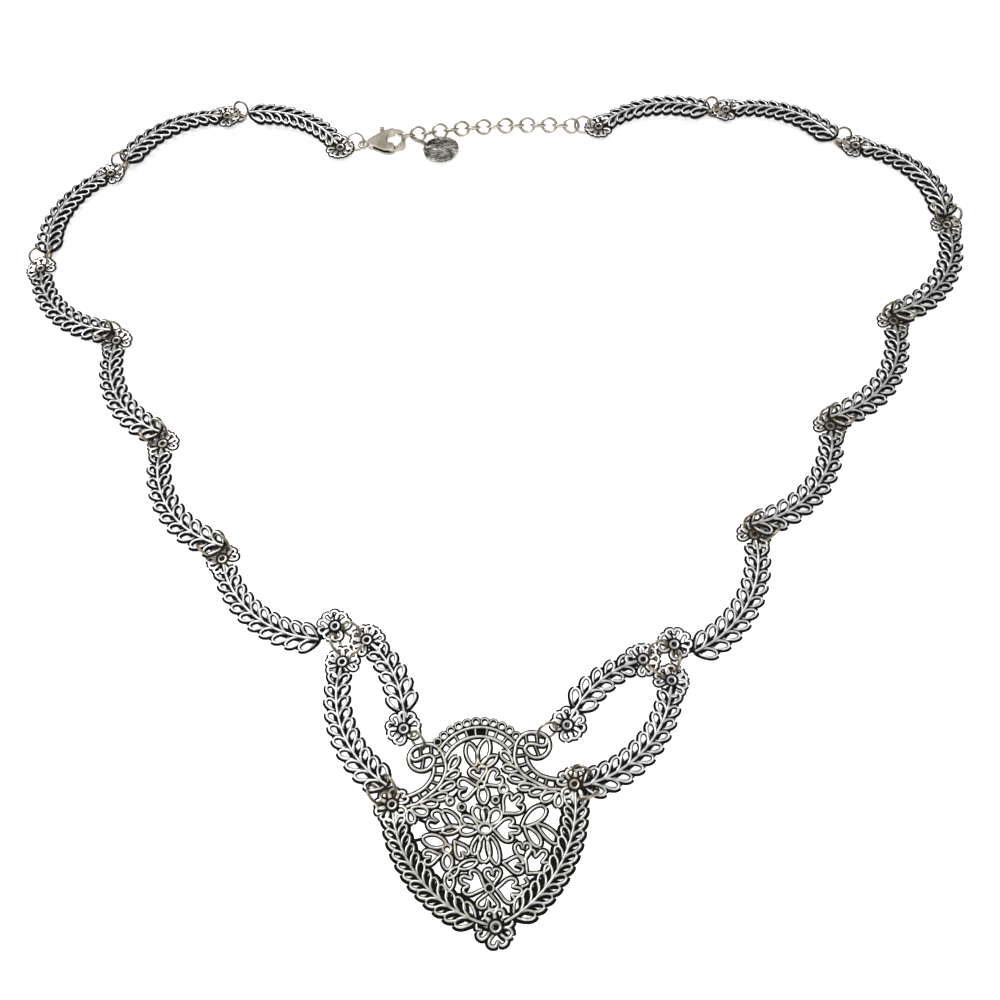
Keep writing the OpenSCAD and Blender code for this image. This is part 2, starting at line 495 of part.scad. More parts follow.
module arch2d() {
  translate(ARCH) {
    difference() {
      union() {
        polygon(band(arch_r[1] - 0.4, arch_r[2] + 0.4, 33, 147, 24));
        for (k = [0:10]) rotate(39.2 + 9.8*k) translate([arch_r[2], 0]) circle(0.86, $fn = 16);
      }
      for (k = [0:9]) rotate(39.2 + 9.8*k) translate([arch_r[2], 0]) circle(0.42, $fn = 12);
    }
    polygon(band(arch_r[0] - 0.4, arch_r[0] + 0.4, 24, 156, 24));
    polygon(band(arch_r[0], arch_r[1], ARCH_FILL[0], ARCH_FILL[1], 8));
    for (q = ARCH_BARS) rotate(q) translate([arch_r[0], -0.32]) square([arch_r[1] - arch_r[0], 0.64]);
  }
}
module scrolls2d() {
  on_both_sides() {
    polygon(strip(concat(RAIL_IN, wheel()), 0.8));
    polygon(strip(RAIL_CURL, 0.75));
    polygon(strip(RAIL_OUT, 0.75));
    for (t = CELLS) polygon(strip([[t[0], t[1]], [t[2], t[3]]], 0.6));
  }
}
module motifs2d(t, opening) {
  for (m = t) translate([m[1], m[2]]) rotate(m[3]) {
    if (opening) hole_of(m[4], m[5], m[0], m[6], m[7]); else solid_of(m[4], m[5], m[0], m[6], m[7]);
  }
}
module fringe2d(opening) {
  on_both_sides() motifs2d([for (m = FRINGE) [0, m[0], m[1], m[2], m[3], m[4], -8, 0.7]], opening);
}
module oval(a, b) { polygon([for (k = [0:23]) [a*cos(15*k), b*sin(15*k)]]); }
module pendant2d() {
  difference() {
    union() {
      branches2d(false);
      motifs2d(MOTIFS, false);
      fringe2d(false);
      translate([DAISY[0], DAISY[1]]) oval(DAISY[2], DAISY[3]);
      for (t = TIES) polygon(strip([[t[0], t[1]], [t[2], t[3]]], 0.5));
      for (d = DOTS) translate([d[0], d[1]]) circle(d[2] + 0.2, $fn = 20);
      polygon(strip([[5.4, -10.3], [5.8, -11.3], [4.7, -11.7]], 0.7));
    }
    branches2d(true);
    motifs2d(MOTIFS, true);
    fringe2d(true);
    translate([DAISY[0], DAISY[1]]) oval(DAISY[2] - 0.8, DAISY[3] - 0.7);
    for (d = DOTS) if (d[4] == 0) translate([d[0], d[1]]) circle(d[3] - 0.08, $fn = 16);
  }
  arch2d();
  scrolls2d();
  on_both_sides() translate(CORNERS[1]) difference() {
    petals2d(PETALS_CORNER, false); petals2d(PETALS_CORNER, true);
  }
  translate([0, -17.45]) difference() { petals2d(PETALS_BOTTOM, false); petals2d(PETALS_BOTTOM, true); }
  for (d = SCROLL_AT) translate(d) circle(1.0, $fn = 20);
}
module casting() {
  translate([PEND[0], PEND[1], 0]) {
    difference() {
      linear_extrude(height = pendant_h) pendant2d();
      for (d = DOTS) if (d[4] == 1) translate([d[0], d[1], pendant_h - 0.5]) cylinder(r = d[3], h = 1, $fn = 20);
      for (a = [76, 91.5]) translate([ARCH[0], ARCH[1], pendant_h - 0.4]) linear_extrude(height = 1)
        polygon(band(arch_r[0] + 0.35, arch_r[1] - 0.35, a, a + 10.5, 4));
      for (i = [0, 1]) {
        translate([CORNERS[i][0], CORNERS[i][1], -1]) cylinder(r = flower_r + 0.4, h = 1 + flower_lift, $fn = 48);
        translate([SCROLL_AT[i][0], SCROLL_AT[i][1], -1]) cylinder(r = 1.5, h = 1 + flower_lift, $fn = 32);
        translate([SCROLL_AT[i][0], SCROLL_AT[i][1], -1]) cylinder(r = eye_r, h = 4, $fn = 24);
        for (g = [1, -1]) let (p = corner_pick(i, g)[5] - PEND)
          translate([p[0], p[1], -1]) cylinder(r = eye_r, h = 4, $fn = 24);
      }
    }
    for (i = [0, 1]) translate([CORNERS[i][0], CORNERS[i][1], 0]) hub(flower_lift);
    translate([0, -17.45, 0]) hub(0);
  }
}
module pendant() {
  color(metal) difference() {
    casting();
    for (i = [0, 1]) {
      ring(scroll_pose(i), ring_r, room);
      for (g = [1, -1]) ring(corner_pose(i, g), ring_r, room);
    }
  }
}

/* Clasp end */
// Own frame of the clasp: eyelet at the origin, loop towards +X
clasp_z = 1.0;
clasp_ring_r = 1.75;
LOOP = [6.7, 0];
PIVOT = [5.9, -2.05];
lever_z = 0.6;
petal_l = place(LEFT[0], -1, [eye_at*cos(143), eye_at*sin(143), 0], tail_lift);
petal_r = place(RIGHT[0], 1, [-eye_at, 0, 0], tail_lift);
clasp_at = petal_l + norm(reach(clasp_ring_r, 45, clasp_z, flat_z))*[1, 0];
clasp_pose = ring_pose(petal_l, clasp_at, flat_z, clasp_z, 45, 1, clasp_ring_r);
module clasp_ring() { color(silver) ring(clasp_pose, clasp_ring_r); }
module in_clasp() { translate([clasp_at[0], clasp_at[1], clasp_z]) children(); }
module slab(h) { translate([0, 0, -h/2]) linear_extrude(height = h) children(); }
module clasp_body() {
  color(silver) difference() {
    claw();
    ring(clasp_pose, clasp_ring_r, room);
    ring(hook_pose, ring_r, room);
  }
}
module claw() {
  in_clasp() {
    // eyelet
    rotate_extrude($fn = 40) translate([0.9, 0]) circle(d = 0.6, $fn = 16);
    difference() {
      slab(clasp_h) union() {
        polygon([[0.95, -0.45], [4.4, -2.75], [5.6, -2.95], [6.5, -2.7], [6.8, -2.0],
          [6.4, -1.2], [5.2, -1.05], [5.0, 0], [5.2, 1.15], [5.6, 2.2], [5.2, 2.62], [4.6, 2.6], [0.95, 0.45]]);
        translate(LOOP) polygon(band(2.2, clasp_eye, 84, 125, 8));
      }
      // hollow for the lever
      slab(lever_z + 0.2) polygon([[2.0, -4], [8, -4], [8, -1], [5.4, -0.95], [5.4, 0.6], [4.95, 1.3], [4.95, 4], [2.0, 4]]);
    }
    // hook
    slab(1.0) translate(LOOP) polygon(band(2.42, clasp_eye, 16, 100, 14));
    // pivot pin
    translate([PIVOT[0], PIVOT[1], -clasp_h/2 + 0.1]) cylinder(r = 0.32, h = clasp_h - 0.2, $fn = 24);
  }
}
module clasp_lever() {
  color(silver) in_clasp() difference() {
    union() {
      slab(lever_z) union() {
        translate(PIVOT) circle(0.72, $fn = 32);
        translate(LOOP) polygon(band(1.7, 2.75, -118, -60, 10));
        polygon([[5.6, -2.5], [6.2, -1.5], [5.0, 0.2], [4.75, 3.9], [3.95, 3.9], [3.9, 0], [5.2, -2.2]]);
      }
      slab(1.1) translate(LOOP) polygon(concat(
        [for (k = [0:10]) let (q = lerp(-62, 14, k/10), r = lerp(2.85, 2.12, max(0, (k - 4)/6))) r*[cos(q), sin(q)]],
        [for (k = [10:-1:0]) let (q = lerp(-62, 14, k/10)) 1.7*[cos(q), sin(q)]]));
      slab(0.9) polygon([[3.85, 3.2], [4.85, 3.2], [4.8, 4.1], [3.9, 4.1]]);
    }
    translate([PIVOT[0], PIVOT[1], -2]) cylinder(r = 0.38, h = 4, $fn = 24);
  }
}
hook_pose = ring_pose(clasp_at + LOOP + [1.5, 1.5], clasp_at + LOOP + [1.5, 1.5] + 3*[cos(-15), sin(-15)], 1.0, 1.3, 50, -1);
module hook_ring() { color(silver) ring(hook_pose); }
end_pose = ring_pose(petal_r, petal_r + 3*[cos(172), sin(172)], flat_z, 1.3, 48, -1);
module chain_end_ring() { color(silver) ring(end_pose); }

// The fine chain as a tube along its route, between its two end rings
chain_from = [hook_pose[0], hook_pose[1]] + (ring_r + 0.45)*[cos(8), sin(8)];
chain_to = [end_pose[0], end_pose[1]] + (ring_r + 0.45)*[cos(174), sin(174)];
function route(t) = let (d = chain_to - chain_from, n = unit([-d[1], d[0]]))
  chain_from + t*d + chain_bow*4*t*(1 - t)*n;
chain_rings = 14;
chain_sides = 8;
module extension_chain() {
  n = chain_rings; m = chain_sides; r = chain_d/2;
  pts = [for (i = [0:n]) let (p = route(i/n), d = unit(route(min(1, i/n + 0.01)) - route(max(0, i/n - 0.01))))
    for (k = [0:m-1]) let (a = 360*(k + 0.5)/m) [p[0] - d[1]*r*cos(a), p[1] + d[0]*r*cos(a), r + 0.02 + r*sin(a)]];
  sides = [for (i = [0:n-1], k = [0:m-1]) [i*m + k, i*m + (k+1)%m, (i+1)*m + (k+1)%m, (i+1)*m + k]];
  color(silver) polyhedron(points = pts, faces = concat([[for (k = [m-1:-1:0]) k]], sides, [[for (k = [0:m-1]) n*m + k]]));
}

// Round tag, plain, with a raised rim
tag_at = [-7.6, 73.3];
tag_lean = -8;
tag_hole = [-2.7, 1.5];
module tag_disc() {
  color(metal) difference() {
    translate([tag_at[0], tag_at[1], 0.88]) rotate([tag_lean, 0, 0]) difference() {
      translate([0, 0, -0.3]) cylinder(d = tag_d, h = 0.6, $fn = 64);
      translate([0, 0, 0.15]) cylinder(d = tag_d - 0.9, h = 1, $fn = 64);
      translate([tag_hole[0], tag_hole[1], -2]) cylinder(r = 0.7, h = 4, $fn = 24);
    }
    ring(tag_pose, ring_r, room);
  }
}
tag_pose = ring_pose(tag_at + tag_hole, [hook_pose[0], hook_pose[1]], 0.85, 1.2, 60, 1);
module tag_ring() { color(silver) ring(tag_pose); }

chain_link(LEFT, 0, -1);  // link_left_1
chain_link(LEFT, 1, -1);  // link_left_2
chain_link(LEFT, 2, -1);  // link_left_3
chain_link(LEFT, 3, -1);  // link_left_4
chain_link(LEFT, 4, -1);  // link_left_5
chain_link(LEFT, 5, -1);  // link_left_6
last_link(0);  // link_left_7
chain_link(RIGHT, 0, 1);  // link_right_1
chain_link(RIGHT, 1, 1);  // link_right_2
chain_link(RIGHT, 2, 1);  // link_right_3
chain_link(RIGHT, 3, 1);  // link_right_4
chain_link(RIGHT, 4, 1);  // link_right_5
chain_link(RIGHT, 5, 1);  // link_right_6
last_link(1);  // link_right_7
strand_outer(0);  // strand_outer_left
strand_outer(1);  // strand_outer_right
strand_inner(0);  // strand_inner_left
strand_inner(1);  // strand_inner_right
pendant();
joint_rings(LEFT, 0, -1);  // joint_rings_left_1
joint_rings(LEFT, 1, -1);  // joint_rings_left_2
joint_rings(LEFT, 2, -1);  // joint_rings_left_3
joint_rings(LEFT, 3, -1);  // joint_rings_left_4
joint_rings(LEFT, 4, -1);  // joint_rings_left_5
joint_rings(LEFT, 5, -1);  // joint_rings_left_6
joint_rings(RIGHT, 0, 1);  // joint_rings_right_1
joint_rings(RIGHT, 1, 1);  // joint_rings_right_2
joint_rings(RIGHT, 2, 1);  // joint_rings_right_3
joint_rings(RIGHT, 3, 1);  // joint_rings_right_4
joint_rings(RIGHT, 4, 1);  // joint_rings_right_5
joint_rings(RIGHT, 5, 1);  // joint_rings_right_6
junction_rings(0);  // junction_rings_left
junction_rings(1);  // junction_rings_right
corner_rings(0);  // corner_rings_left
corner_rings(1);  // corner_rings_right
scroll_ring(0);  // scroll_ring_left
scroll_ring(1);  // scroll_ring_right
clasp_ring();
clasp_body();
clasp_lever();
hook_ring();
extension_chain();
chain_end_ring();
tag_ring();
tag_disc();
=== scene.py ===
# Looks of the filigree necklace: the cast links, strands and pendant are
# rebuilt here as raised wire work over a dark oxidised ground, the fine chain
# as real links. Metres outside the helpers, millimetres inside them.
import bpy
import math
import numpy as np
from mathutils import Vector, Matrix


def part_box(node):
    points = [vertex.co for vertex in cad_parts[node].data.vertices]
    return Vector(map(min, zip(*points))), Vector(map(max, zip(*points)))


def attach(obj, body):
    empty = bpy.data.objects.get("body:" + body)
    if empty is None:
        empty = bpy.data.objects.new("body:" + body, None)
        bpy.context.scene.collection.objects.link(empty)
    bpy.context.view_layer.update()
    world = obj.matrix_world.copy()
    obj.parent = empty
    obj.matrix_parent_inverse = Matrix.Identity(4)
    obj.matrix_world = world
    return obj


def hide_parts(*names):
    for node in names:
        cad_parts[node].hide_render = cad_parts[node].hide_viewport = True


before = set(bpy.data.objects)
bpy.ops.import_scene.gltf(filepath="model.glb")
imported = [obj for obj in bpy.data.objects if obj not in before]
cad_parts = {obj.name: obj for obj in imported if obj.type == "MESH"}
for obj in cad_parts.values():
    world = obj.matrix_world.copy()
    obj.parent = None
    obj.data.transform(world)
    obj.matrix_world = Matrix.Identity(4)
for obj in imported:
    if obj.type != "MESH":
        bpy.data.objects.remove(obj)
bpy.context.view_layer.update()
MM = 0.001

# ---------------------------------------------------------------- layout
PEND = (-11.6, -72.0)
SPINE_R = 20.5
PLATE_H = 1.1
TAIL_LIFT = 3.0
FLOWER_LIFT = 0.6


def rad(a):
    return a * math.pi / 180


def rot2(p, a):
    p = np.asarray(p, float)
    c, s = math.cos(rad(a)), math.sin(rad(a))
    return np.stack([p[..., 0] * c - p[..., 1] * s, p[..., 0] * s + p[..., 1] * c], -1)


# where the links lie, read in the view of the photo: middle of the head
# flower, other end of the spine
LEFT_VIEW = [[340.0, 147.0, 249.6, 113.6], [226.9, 115.4, 125.7, 162.0], [110.4, 172.7, 48.3, 252.3],
             [40.7, 268.4, 111.9, 331.9], [116.3, 340.6, 160.4, 433.5], [162.7, 443.7, 224.1, 547.6],
             [222.2, 558.7, 334.9, 625.9]]
RIGHT_VIEW = [[599.0, 126.0, 708.6, 110.5], [726.4, 109.0, 833.8, 138.4], [856.0, 145.0, 945.3, 216.1],
              [946.8, 224.6, 893.1, 314.4], [893.7, 320.7, 829.5, 418.5], [830.3, 426.0, 751.0, 525.7],
              [754.6, 534.1, 674.3, 644.3]]
OUTER_VIEW = [[342.3, 662.0, 387.4, 786.2], [671.4, 680.5, 583.0, 786.5]]
INNER_VIEW = [[366.7, 639.9, 403.7, 728.7], [643.1, 659.2, 567.3, 724.9]]
VIEW_F, VIEW_H, VIEW_AT, VIEW_DOWN, VIEW_ROLL = 1300, 214, (-3.4, -126), 62.2, -6.42
FLOWER_TOP, TAIL_TOP = 1.2, 2.2


def on_table(x, y, h):
    """A point of the view brought down to height h over the table."""
    q = rot2([(x - 500) / VIEW_F, (500 - y) / VIEW_F], VIEW_ROLL)
    c, s = math.cos(rad(VIEW_DOWN)), math.sin(rad(VIEW_DOWN))
    k = (VIEW_H - h) / (s - q[1] * c)
    return np.array([VIEW_AT[0] + k * q[0], VIEW_AT[1] + k * (c + q[1] * s)])


def laid(v, h):
    """x and y of the head flower, heading of the chord, chord length."""
    p = on_table(v[0], v[1], FLOWER_TOP)
    d = on_table(v[2], v[3], h) - p
    return [p[0], p[1], math.degrees(math.atan2(d[1], d[0])), float(np.hypot(*d))]


LEFT = [laid(v, TAIL_TOP if k < 6 else FLOWER_TOP) for k, v in enumerate(LEFT_VIEW)]
RIGHT = [laid(v, TAIL_TOP if k < 6 else FLOWER_TOP) for k, v in enumerate(RIGHT_VIEW)]
OUTER = [laid(v, TAIL_TOP) for v in OUTER_VIEW]
INNER = [laid(v, FLOWER_TOP) for v in INNER_VIEW]


def lerp(a, b, t):
    return a + (b - a) * t


def smooth(a, b, x):
    t = np.clip((x - a) / (b - a), 0, 1)
    return t * t * (3 - 2 * t)


# ---------------------------------------------------------------- outlines
def drop(length, width, n=34):
    a = np.linspace(0, 2 * math.pi, n, endpoint=False)
    return np.stack([length * (1 - np.cos(a)) / 2,
                     width * 0.61 * np.sin(a) * np.sin(a / 2) ** 0.7], 1)


def lens(length, width, n=34):
    a = np.linspace(0, 2 * math.pi, n, endpoint=False)
    s = np.sin(a)
    return np.stack([length * (1 - np.cos(a)) / 2,
                     width * 0.5 * np.sign(s) * np.abs(s) ** 1.35 * (1.0 + 0.12 * np.sin(a / 2))], 1)


def through(points, n, closed=True):
    """Smooth curve through points."""
    p = np.asarray(points, float)
    m = len(p)
    out = []
    for i in range(n):
        t = i * (m if closed else m - 1) / (n if closed else n - 1)
        k = min(int(t), m - 1 if closed else m - 2)
        u = t - k
        if closed:
            a, b, c, d = p[(k - 1) % m], p[k % m], p[(k + 1) % m], p[(k + 2) % m]
        else:
            a, b, c, d = p[max(k - 1, 0)], p[k], p[k + 1], p[min(k + 2, m - 1)]
        out.append(0.5 * ((2 * b) + (c - a) * u + (2 * a - 5 * b + 4 * c - d) * u * u
                          + (3 * b - a - 3 * c + d) * u ** 3))
    return np.array(out)


# Half outline of a heart petal, root to notch, as shares of length and width
HEART = [[0.0, 0.02], [0.16, 0.13], [0.36, 0.30], [0.58, 0.46], [0.79, 0.50], [0.94, 0.41],
         [1.0, 0.25], [0.95, 0.10], [0.84, 0.045]]


def heart(length, width, n=44, notch=0.72):
    half = [[x * length, y * width] for x, y in HEART]
    other = [[x, -y] for x, y in reversed(half)]
    pts = half + [[notch * length, 0.0]] + other
    out = through(pts, n)
    return out


# Half outline of a three-lobed petal, root to middle lobe
CLOVER = [[0.0, 0.02], [0.16, 0.20], [0.36, 0.42], [0.55, 0.50], [0.70, 0.45], [0.74, 0.31], [0.60, 0.17],
          [0.76, 0.15], [0.92, 0.13]]


def clover(length, width, n=56):
    side = [[x * length, y * width] for x, y in CLOVER]
    return through(side + [[length, 0.0]] + [[x, -y] for x, y in reversed(side)], n)


def outline(kind, length, width, notch=0.72):
    if kind == 1:
        return heart(length, width, notch=notch)
    return {0: drop, 2: lens, 3: clover}[kind](length, width)


def bent(p, bend, length):
    """Curves an outline sideways: bend is the angle at its far end."""
    if not bend:
        return p
    k = rad(bend) / length
    x, y = p[:, 0], p[:, 1]
    a = k * x
    return np.stack([np.sin(a) / k - y * np.sin(a), (1 - np.cos(a)) / k + y * np.cos(a)], 1)


def normals(p):
    """Inward normals of a closed outline."""
    t = np.roll(p, -1, 0) - np.roll(p, 1, 0)
    n = np.stack([-t[:, 1], t[:, 0]], 1)
    n /= np.maximum(np.linalg.norm(n, axis=1, keepdims=True), 1e-9)
    area = 0.5 * np.sum(p[:, 0] * np.roll(p[:, 1], -1) - np.roll(p[:, 0], -1) * p[:, 1])
    return n if area > 0 else -n


# ---------------------------------------------------------------- meshes
class Work:
    """Collects closed shells with a brightness for every point."""

    def __init__(self):
        self.v, self.f, self.s, self.n = [], [], [], 0
        self.shells = []

    def grid(self, rings, shine, closed_u=True, closed_v=True):
        """rings: list of (n, 3) arrays round the section, first to last."""
        k, n = len(rings), len(rings[0])
        v = np.concatenate(rings)
        s = np.concatenate([np.broadcast_to(np.asarray(q, float), (n,)) for q in shine])
        a, b = np.meshgrid(np.arange(k if closed_v else k - 1), np.arange(n if closed_u else n - 1), indexing="ij")
        a, b = a.ravel(), b.ravel()
        a2, b2 = (a + 1) % k, (b + 1) % n
        f = np.stack([a * n + b, a * n + b2, a2 * n + b2, a2 * n + b], 1)
        self.add(v, f, s)

    def add(self, v, f, s):
        """Faces of one shell stay together, so each can be turned outwards."""
        self.shells.append(np.asarray(f) + self.n)
        self.v.append(v)
        self.s.append(s)
        self.n += len(v)


def orient(v, quads):
    """Signed volume of a shell made of quads."""
    a, b, c, d = (v[quads[:, i]] for i in range(4))
    return np.sum(np.einsum("ij,ij->i", a, np.cross(b, c)) + np.einsum("ij,ij->i", a, np.cross(c, d))) / 6


# Section of a raised line: offset from its middle in shares of the half
# ridge (r) or of the dark flank outside it (f), height share, brightness
EDGE = [(0, -0.3, 0.00, 0.0), (0, -1, 0.72, 0.0), (-1.12, 0, 0.82, 0.0), (-0.86, 0, 0.94, 0.8), (-0.36, 0, 1.00, 1.0),
        (0.36, 0, 1.00, 1.0), (0.86, 0, 0.94, 0.8), (1.12, 0, 0.82, 0.0)]


def ring_of(p, n):
    """n points evenly along a closed outline."""
    q = np.vstack([p, p[:1]])
    d = np.concatenate([[0], np.cumsum(np.linalg.norm(np.diff(q, axis=0), axis=1))])
    t = np.linspace(0, d[-1], n, endpoint=False)
    return np.stack([np.interp(t, d, q[:, 0]), np.interp(t, d, q[:, 1])], 1)


def motif(work, kind, length, width, place, h=PLATE_H, ridge=0.36, flank=0.31, tip=0.0, root=0.0, bend=0, z0=0.0,
          gain=1.0, notch=0.72, fade=0.0, inner=0.31):
    """A leaf or petal: raised bright line with dark flanks round an opening.
    With fade the arms sink and darken towards the root; inner is the dark
    band between the line and the opening."""
    o = outline(kind, length, width, notch)
    n_o = normals(o)
    r = ridge / 2
    toward = n_o[:, 1] * o[:, 1] < 0
    reach = np.abs(o[:, 1]) / np.maximum(np.abs(n_o[:, 1]), 0.08)
    room_in = np.where(toward, np.maximum(reach, 0.05), 9)
    room_out = np.where(toward, 9, np.maximum(reach, 0.05))
    s_in = np.minimum(1, 0.9 * room_in / (1.12 * r))
    s_out = np.minimum(1, 0.9 * room_out / (r + flank))
    grow = 1 - fade * (1 - smooth(0.20, 0.52, o[:, 0] / length))
    dip = 1 - 0.34 * (1 - grow)
    rings, shine = [], []
    for kr, kf, z, bright in EDGE:
        d = kr * r if kf == 0 else kf * (r + flank)
        p = o + n_o * (d * (s_in if d > 0 else s_out))[:, None]
        rings.append((p, z))
        shine.append(bright * gain * grow)
    # opening: inside the dark channel, from where the two arms part
    d = r + inner * 0.66 + tip * smooth(0.5, 0.95, o[:, 0] / length)
    ok = (room_in > d * 1.08) & (o[:, 0] > root * length)
    q = (o + n_o * d[:, None])[ok]
    if len(q) > 6:
        start = min(q[0, 0], q[-1, 0])
        q = np.vstack([[start - 0.5 * min(abs(q[0, 1]), 0.5), 0], q])
        q = ring_of(q, len(o))
    else:
        q = o * 0.1 + [length * 0.6, 0]
    mid = q.mean(0)
    rings += [(q, 0.70), (mid + (q - mid) * 1.28, 0.0)]
    shine += [0, 0]
    out = []
    for p, z in rings:
        p = bent(p, bend, length)
        out.append(place(p, z0 + (h - z0) * z * dip))
    work.grid(out, shine)


def annulus(work, centre, ro, ri, place, h=PLATE_H, z0=0.0, floor=None, n=26, squash=1.0, gain=1.0, rise=0.0,
            flank=0.2, foot=0.7):
    """A small ring with a rounded bright top; floor closes its hole."""
    a = np.linspace(0, 2 * math.pi, n, endpoint=False)
    u = np.stack([np.cos(a) * squash, np.sin(a)], 1)
    top = h + rise
    sec = [(ro + flank * 0.3, z0, 0), (ro + flank, z0 + foot * (h - z0), 0), (ro + 0.04, top - 0.2, 0), (ro - 0.03, top - 0.14, 0.8),
           (lerp(ro, ri, 0.35), top, 1), (lerp(ro, ri, 0.65), top, 1), (ri + 0.05, top - 0.08, 0.8), (ri, top - 0.24, 0)]
    sec += [(max(ri - 0.1, 0.12), h * 0.5, 0), (max(ri - 0.1, 0.12), z0, 0)] if floor is None else \
        [(ri - 0.05, floor, 0), (0.03, floor, 0.25), (0.03, z0, 0)]
    rings = [place(np.asarray(centre) + r * u, np.full(n, z)) for r, z, s in sec]
    work.grid(rings, [s * gain for _, _, s in sec])


def rail(work, points, width, place, h=PLATE_H, z0=0.0, n=60, base=None, gain=1.0, smooth_line=True, rise=0.0):
    """A bar with a rounded bright top along a line, on a wider dark foot."""
    p = through(points, n, closed=False) if smooth_line else np.asarray(points, float)
    t = np.gradient(p, axis=0)
    t /= np.maximum(np.linalg.norm(t, axis=1, keepdims=True), 1e-9)
    side = np.stack([-t[:, 1], t[:, 0]], 1)
    b = (base or width) / 2
    w = width / 2
    top = h + rise
    sec = [(b * 0.6, z0, 0), (b, h * 0.75, 0), (w, h * 0.82, 0), (w * 0.86, top - 0.1, 0.6), (w * 0.45, top, 1),
           (0.0, top + 0.02, 1),
           (-w * 0.45, top, 1), (-w * 0.86, top - 0.1, 0.6), (-w, h * 0.82, 0), (-b, h * 0.75, 0), (-b * 0.6, z0, 0)]
    m = len(sec)
    rings = [place(p + side * x, np.full(len(p), z)) for x, z, s in sec]
    v = np.stack(rings, 1).reshape(-1, 3)
    s = np.tile([q[2] * gain for q in sec], len(p))
    k = len(p)
    a, c = np.meshgrid(np.arange(k - 1), np.arange(m), indexing="ij")
    a, c = a.ravel(), c.ravel()
    c2 = (c + 1) % m
    f = [np.stack([a * m + c, a * m + c2, (a + 1) * m + c2, (a + 1) * m + c], 1)]
    for start, flip in ((0, False), ((k - 1) * m, True)):
        fan = []
        for i in range(m // 2):
            j = m - 1 - i
            q = [start + i, start + i + 1, start + j - 1, start + j] if j - i > 2 else [start + i, start + i + 1, start + j, start + j]
            fan.append(q[::-1] if flip else q)
        f.append(np.array(fan))
    work.add(v, np.concatenate(f), s)


# ---------------------------------------------------------------- links
def half(length):
    return math.degrees(math.asin(length / 2 / SPINE_R))


def arc_len(length):
    return 2 * rad(half(length)) * SPINE_R


def spine(length, s):
    a = rad(90 + half(length) - s / SPINE_R * 180 / math.pi)
    return np.array([length / 2 + SPINE_R * math.cos(a), SPINE_R * (math.sin(a) - math.cos(rad(half(length))))])


def spine_dir(length, s):
    return half(length) - s / SPINE_R * 180 / math.pi


# direction from the spine, reach, width, kind
PETALS = [[60, 2.85, 2.5, 1], [112, 2.7, 1.55, 0], [144, 2.7, 1.5, 0], [180, 2.7, 1.6, 0],
          [-140, 2.7, 1.6, 0], [-102, 2.7, 1.6, 0], [-57, 2.75, 2.2, 1]]
PETALS_END = [[35, 2.85, 2.6, 1], [-35, 2.85, 2.6, 1], [90, 2.7, 1.8, 0],
              [-90, 2.7, 1.8, 0], [136, 2.7, 1.75, 0], [-136, 2.7, 1.75, 0]]
PETAL_AT = 0.5
RISE = 0.5


def camber(length, xy, ends):
    """Roof shape of a link: high along the spine, low at the leaf tips."""
    c = np.array([length / 2, -SPINE_R * math.cos(rad(half(length)))])
    d = np.linalg.norm(xy - c, axis=1) - SPINE_R
    z = RISE * np.clip(1 - np.abs(d) / 2.9, 0, 1)
    a = smooth(1.2, 5.0, np.linalg.norm(xy, axis=1))
    if ends == 2:
        a = a * smooth(1.2, 5.0, np.linalg.norm(xy - [length, 0], axis=1))
    return z * a


def link_frame(row, side, up, ends):
    """Function that puts link points on the table."""
    c, s = math.cos(rad(up)), math.sin(rad(up))

    def at(p, z, local=None):
        if local is not None:
            p = rot2(p, local[1]) + local[0]
        zz = z + camber(row[3], p, ends)
        x = p[:, 0] * c - zz * s
        w = p[:, 0] * s + zz * c
        q = rot2(np.stack([x, side * p[:, 1]], 1), row[2]) + [row[0], row[1]]
        return np.column_stack([q, w])
    return at


# leaves: angle to the spine on the concave and the convex side, length and
# width next to the flower and at the tail
LEAF_ANGLE = {-1: 36, 1: 29}
LEAF_LEN = [2.7, 3.7]
LEAF_WID = [1.3, 1.6]


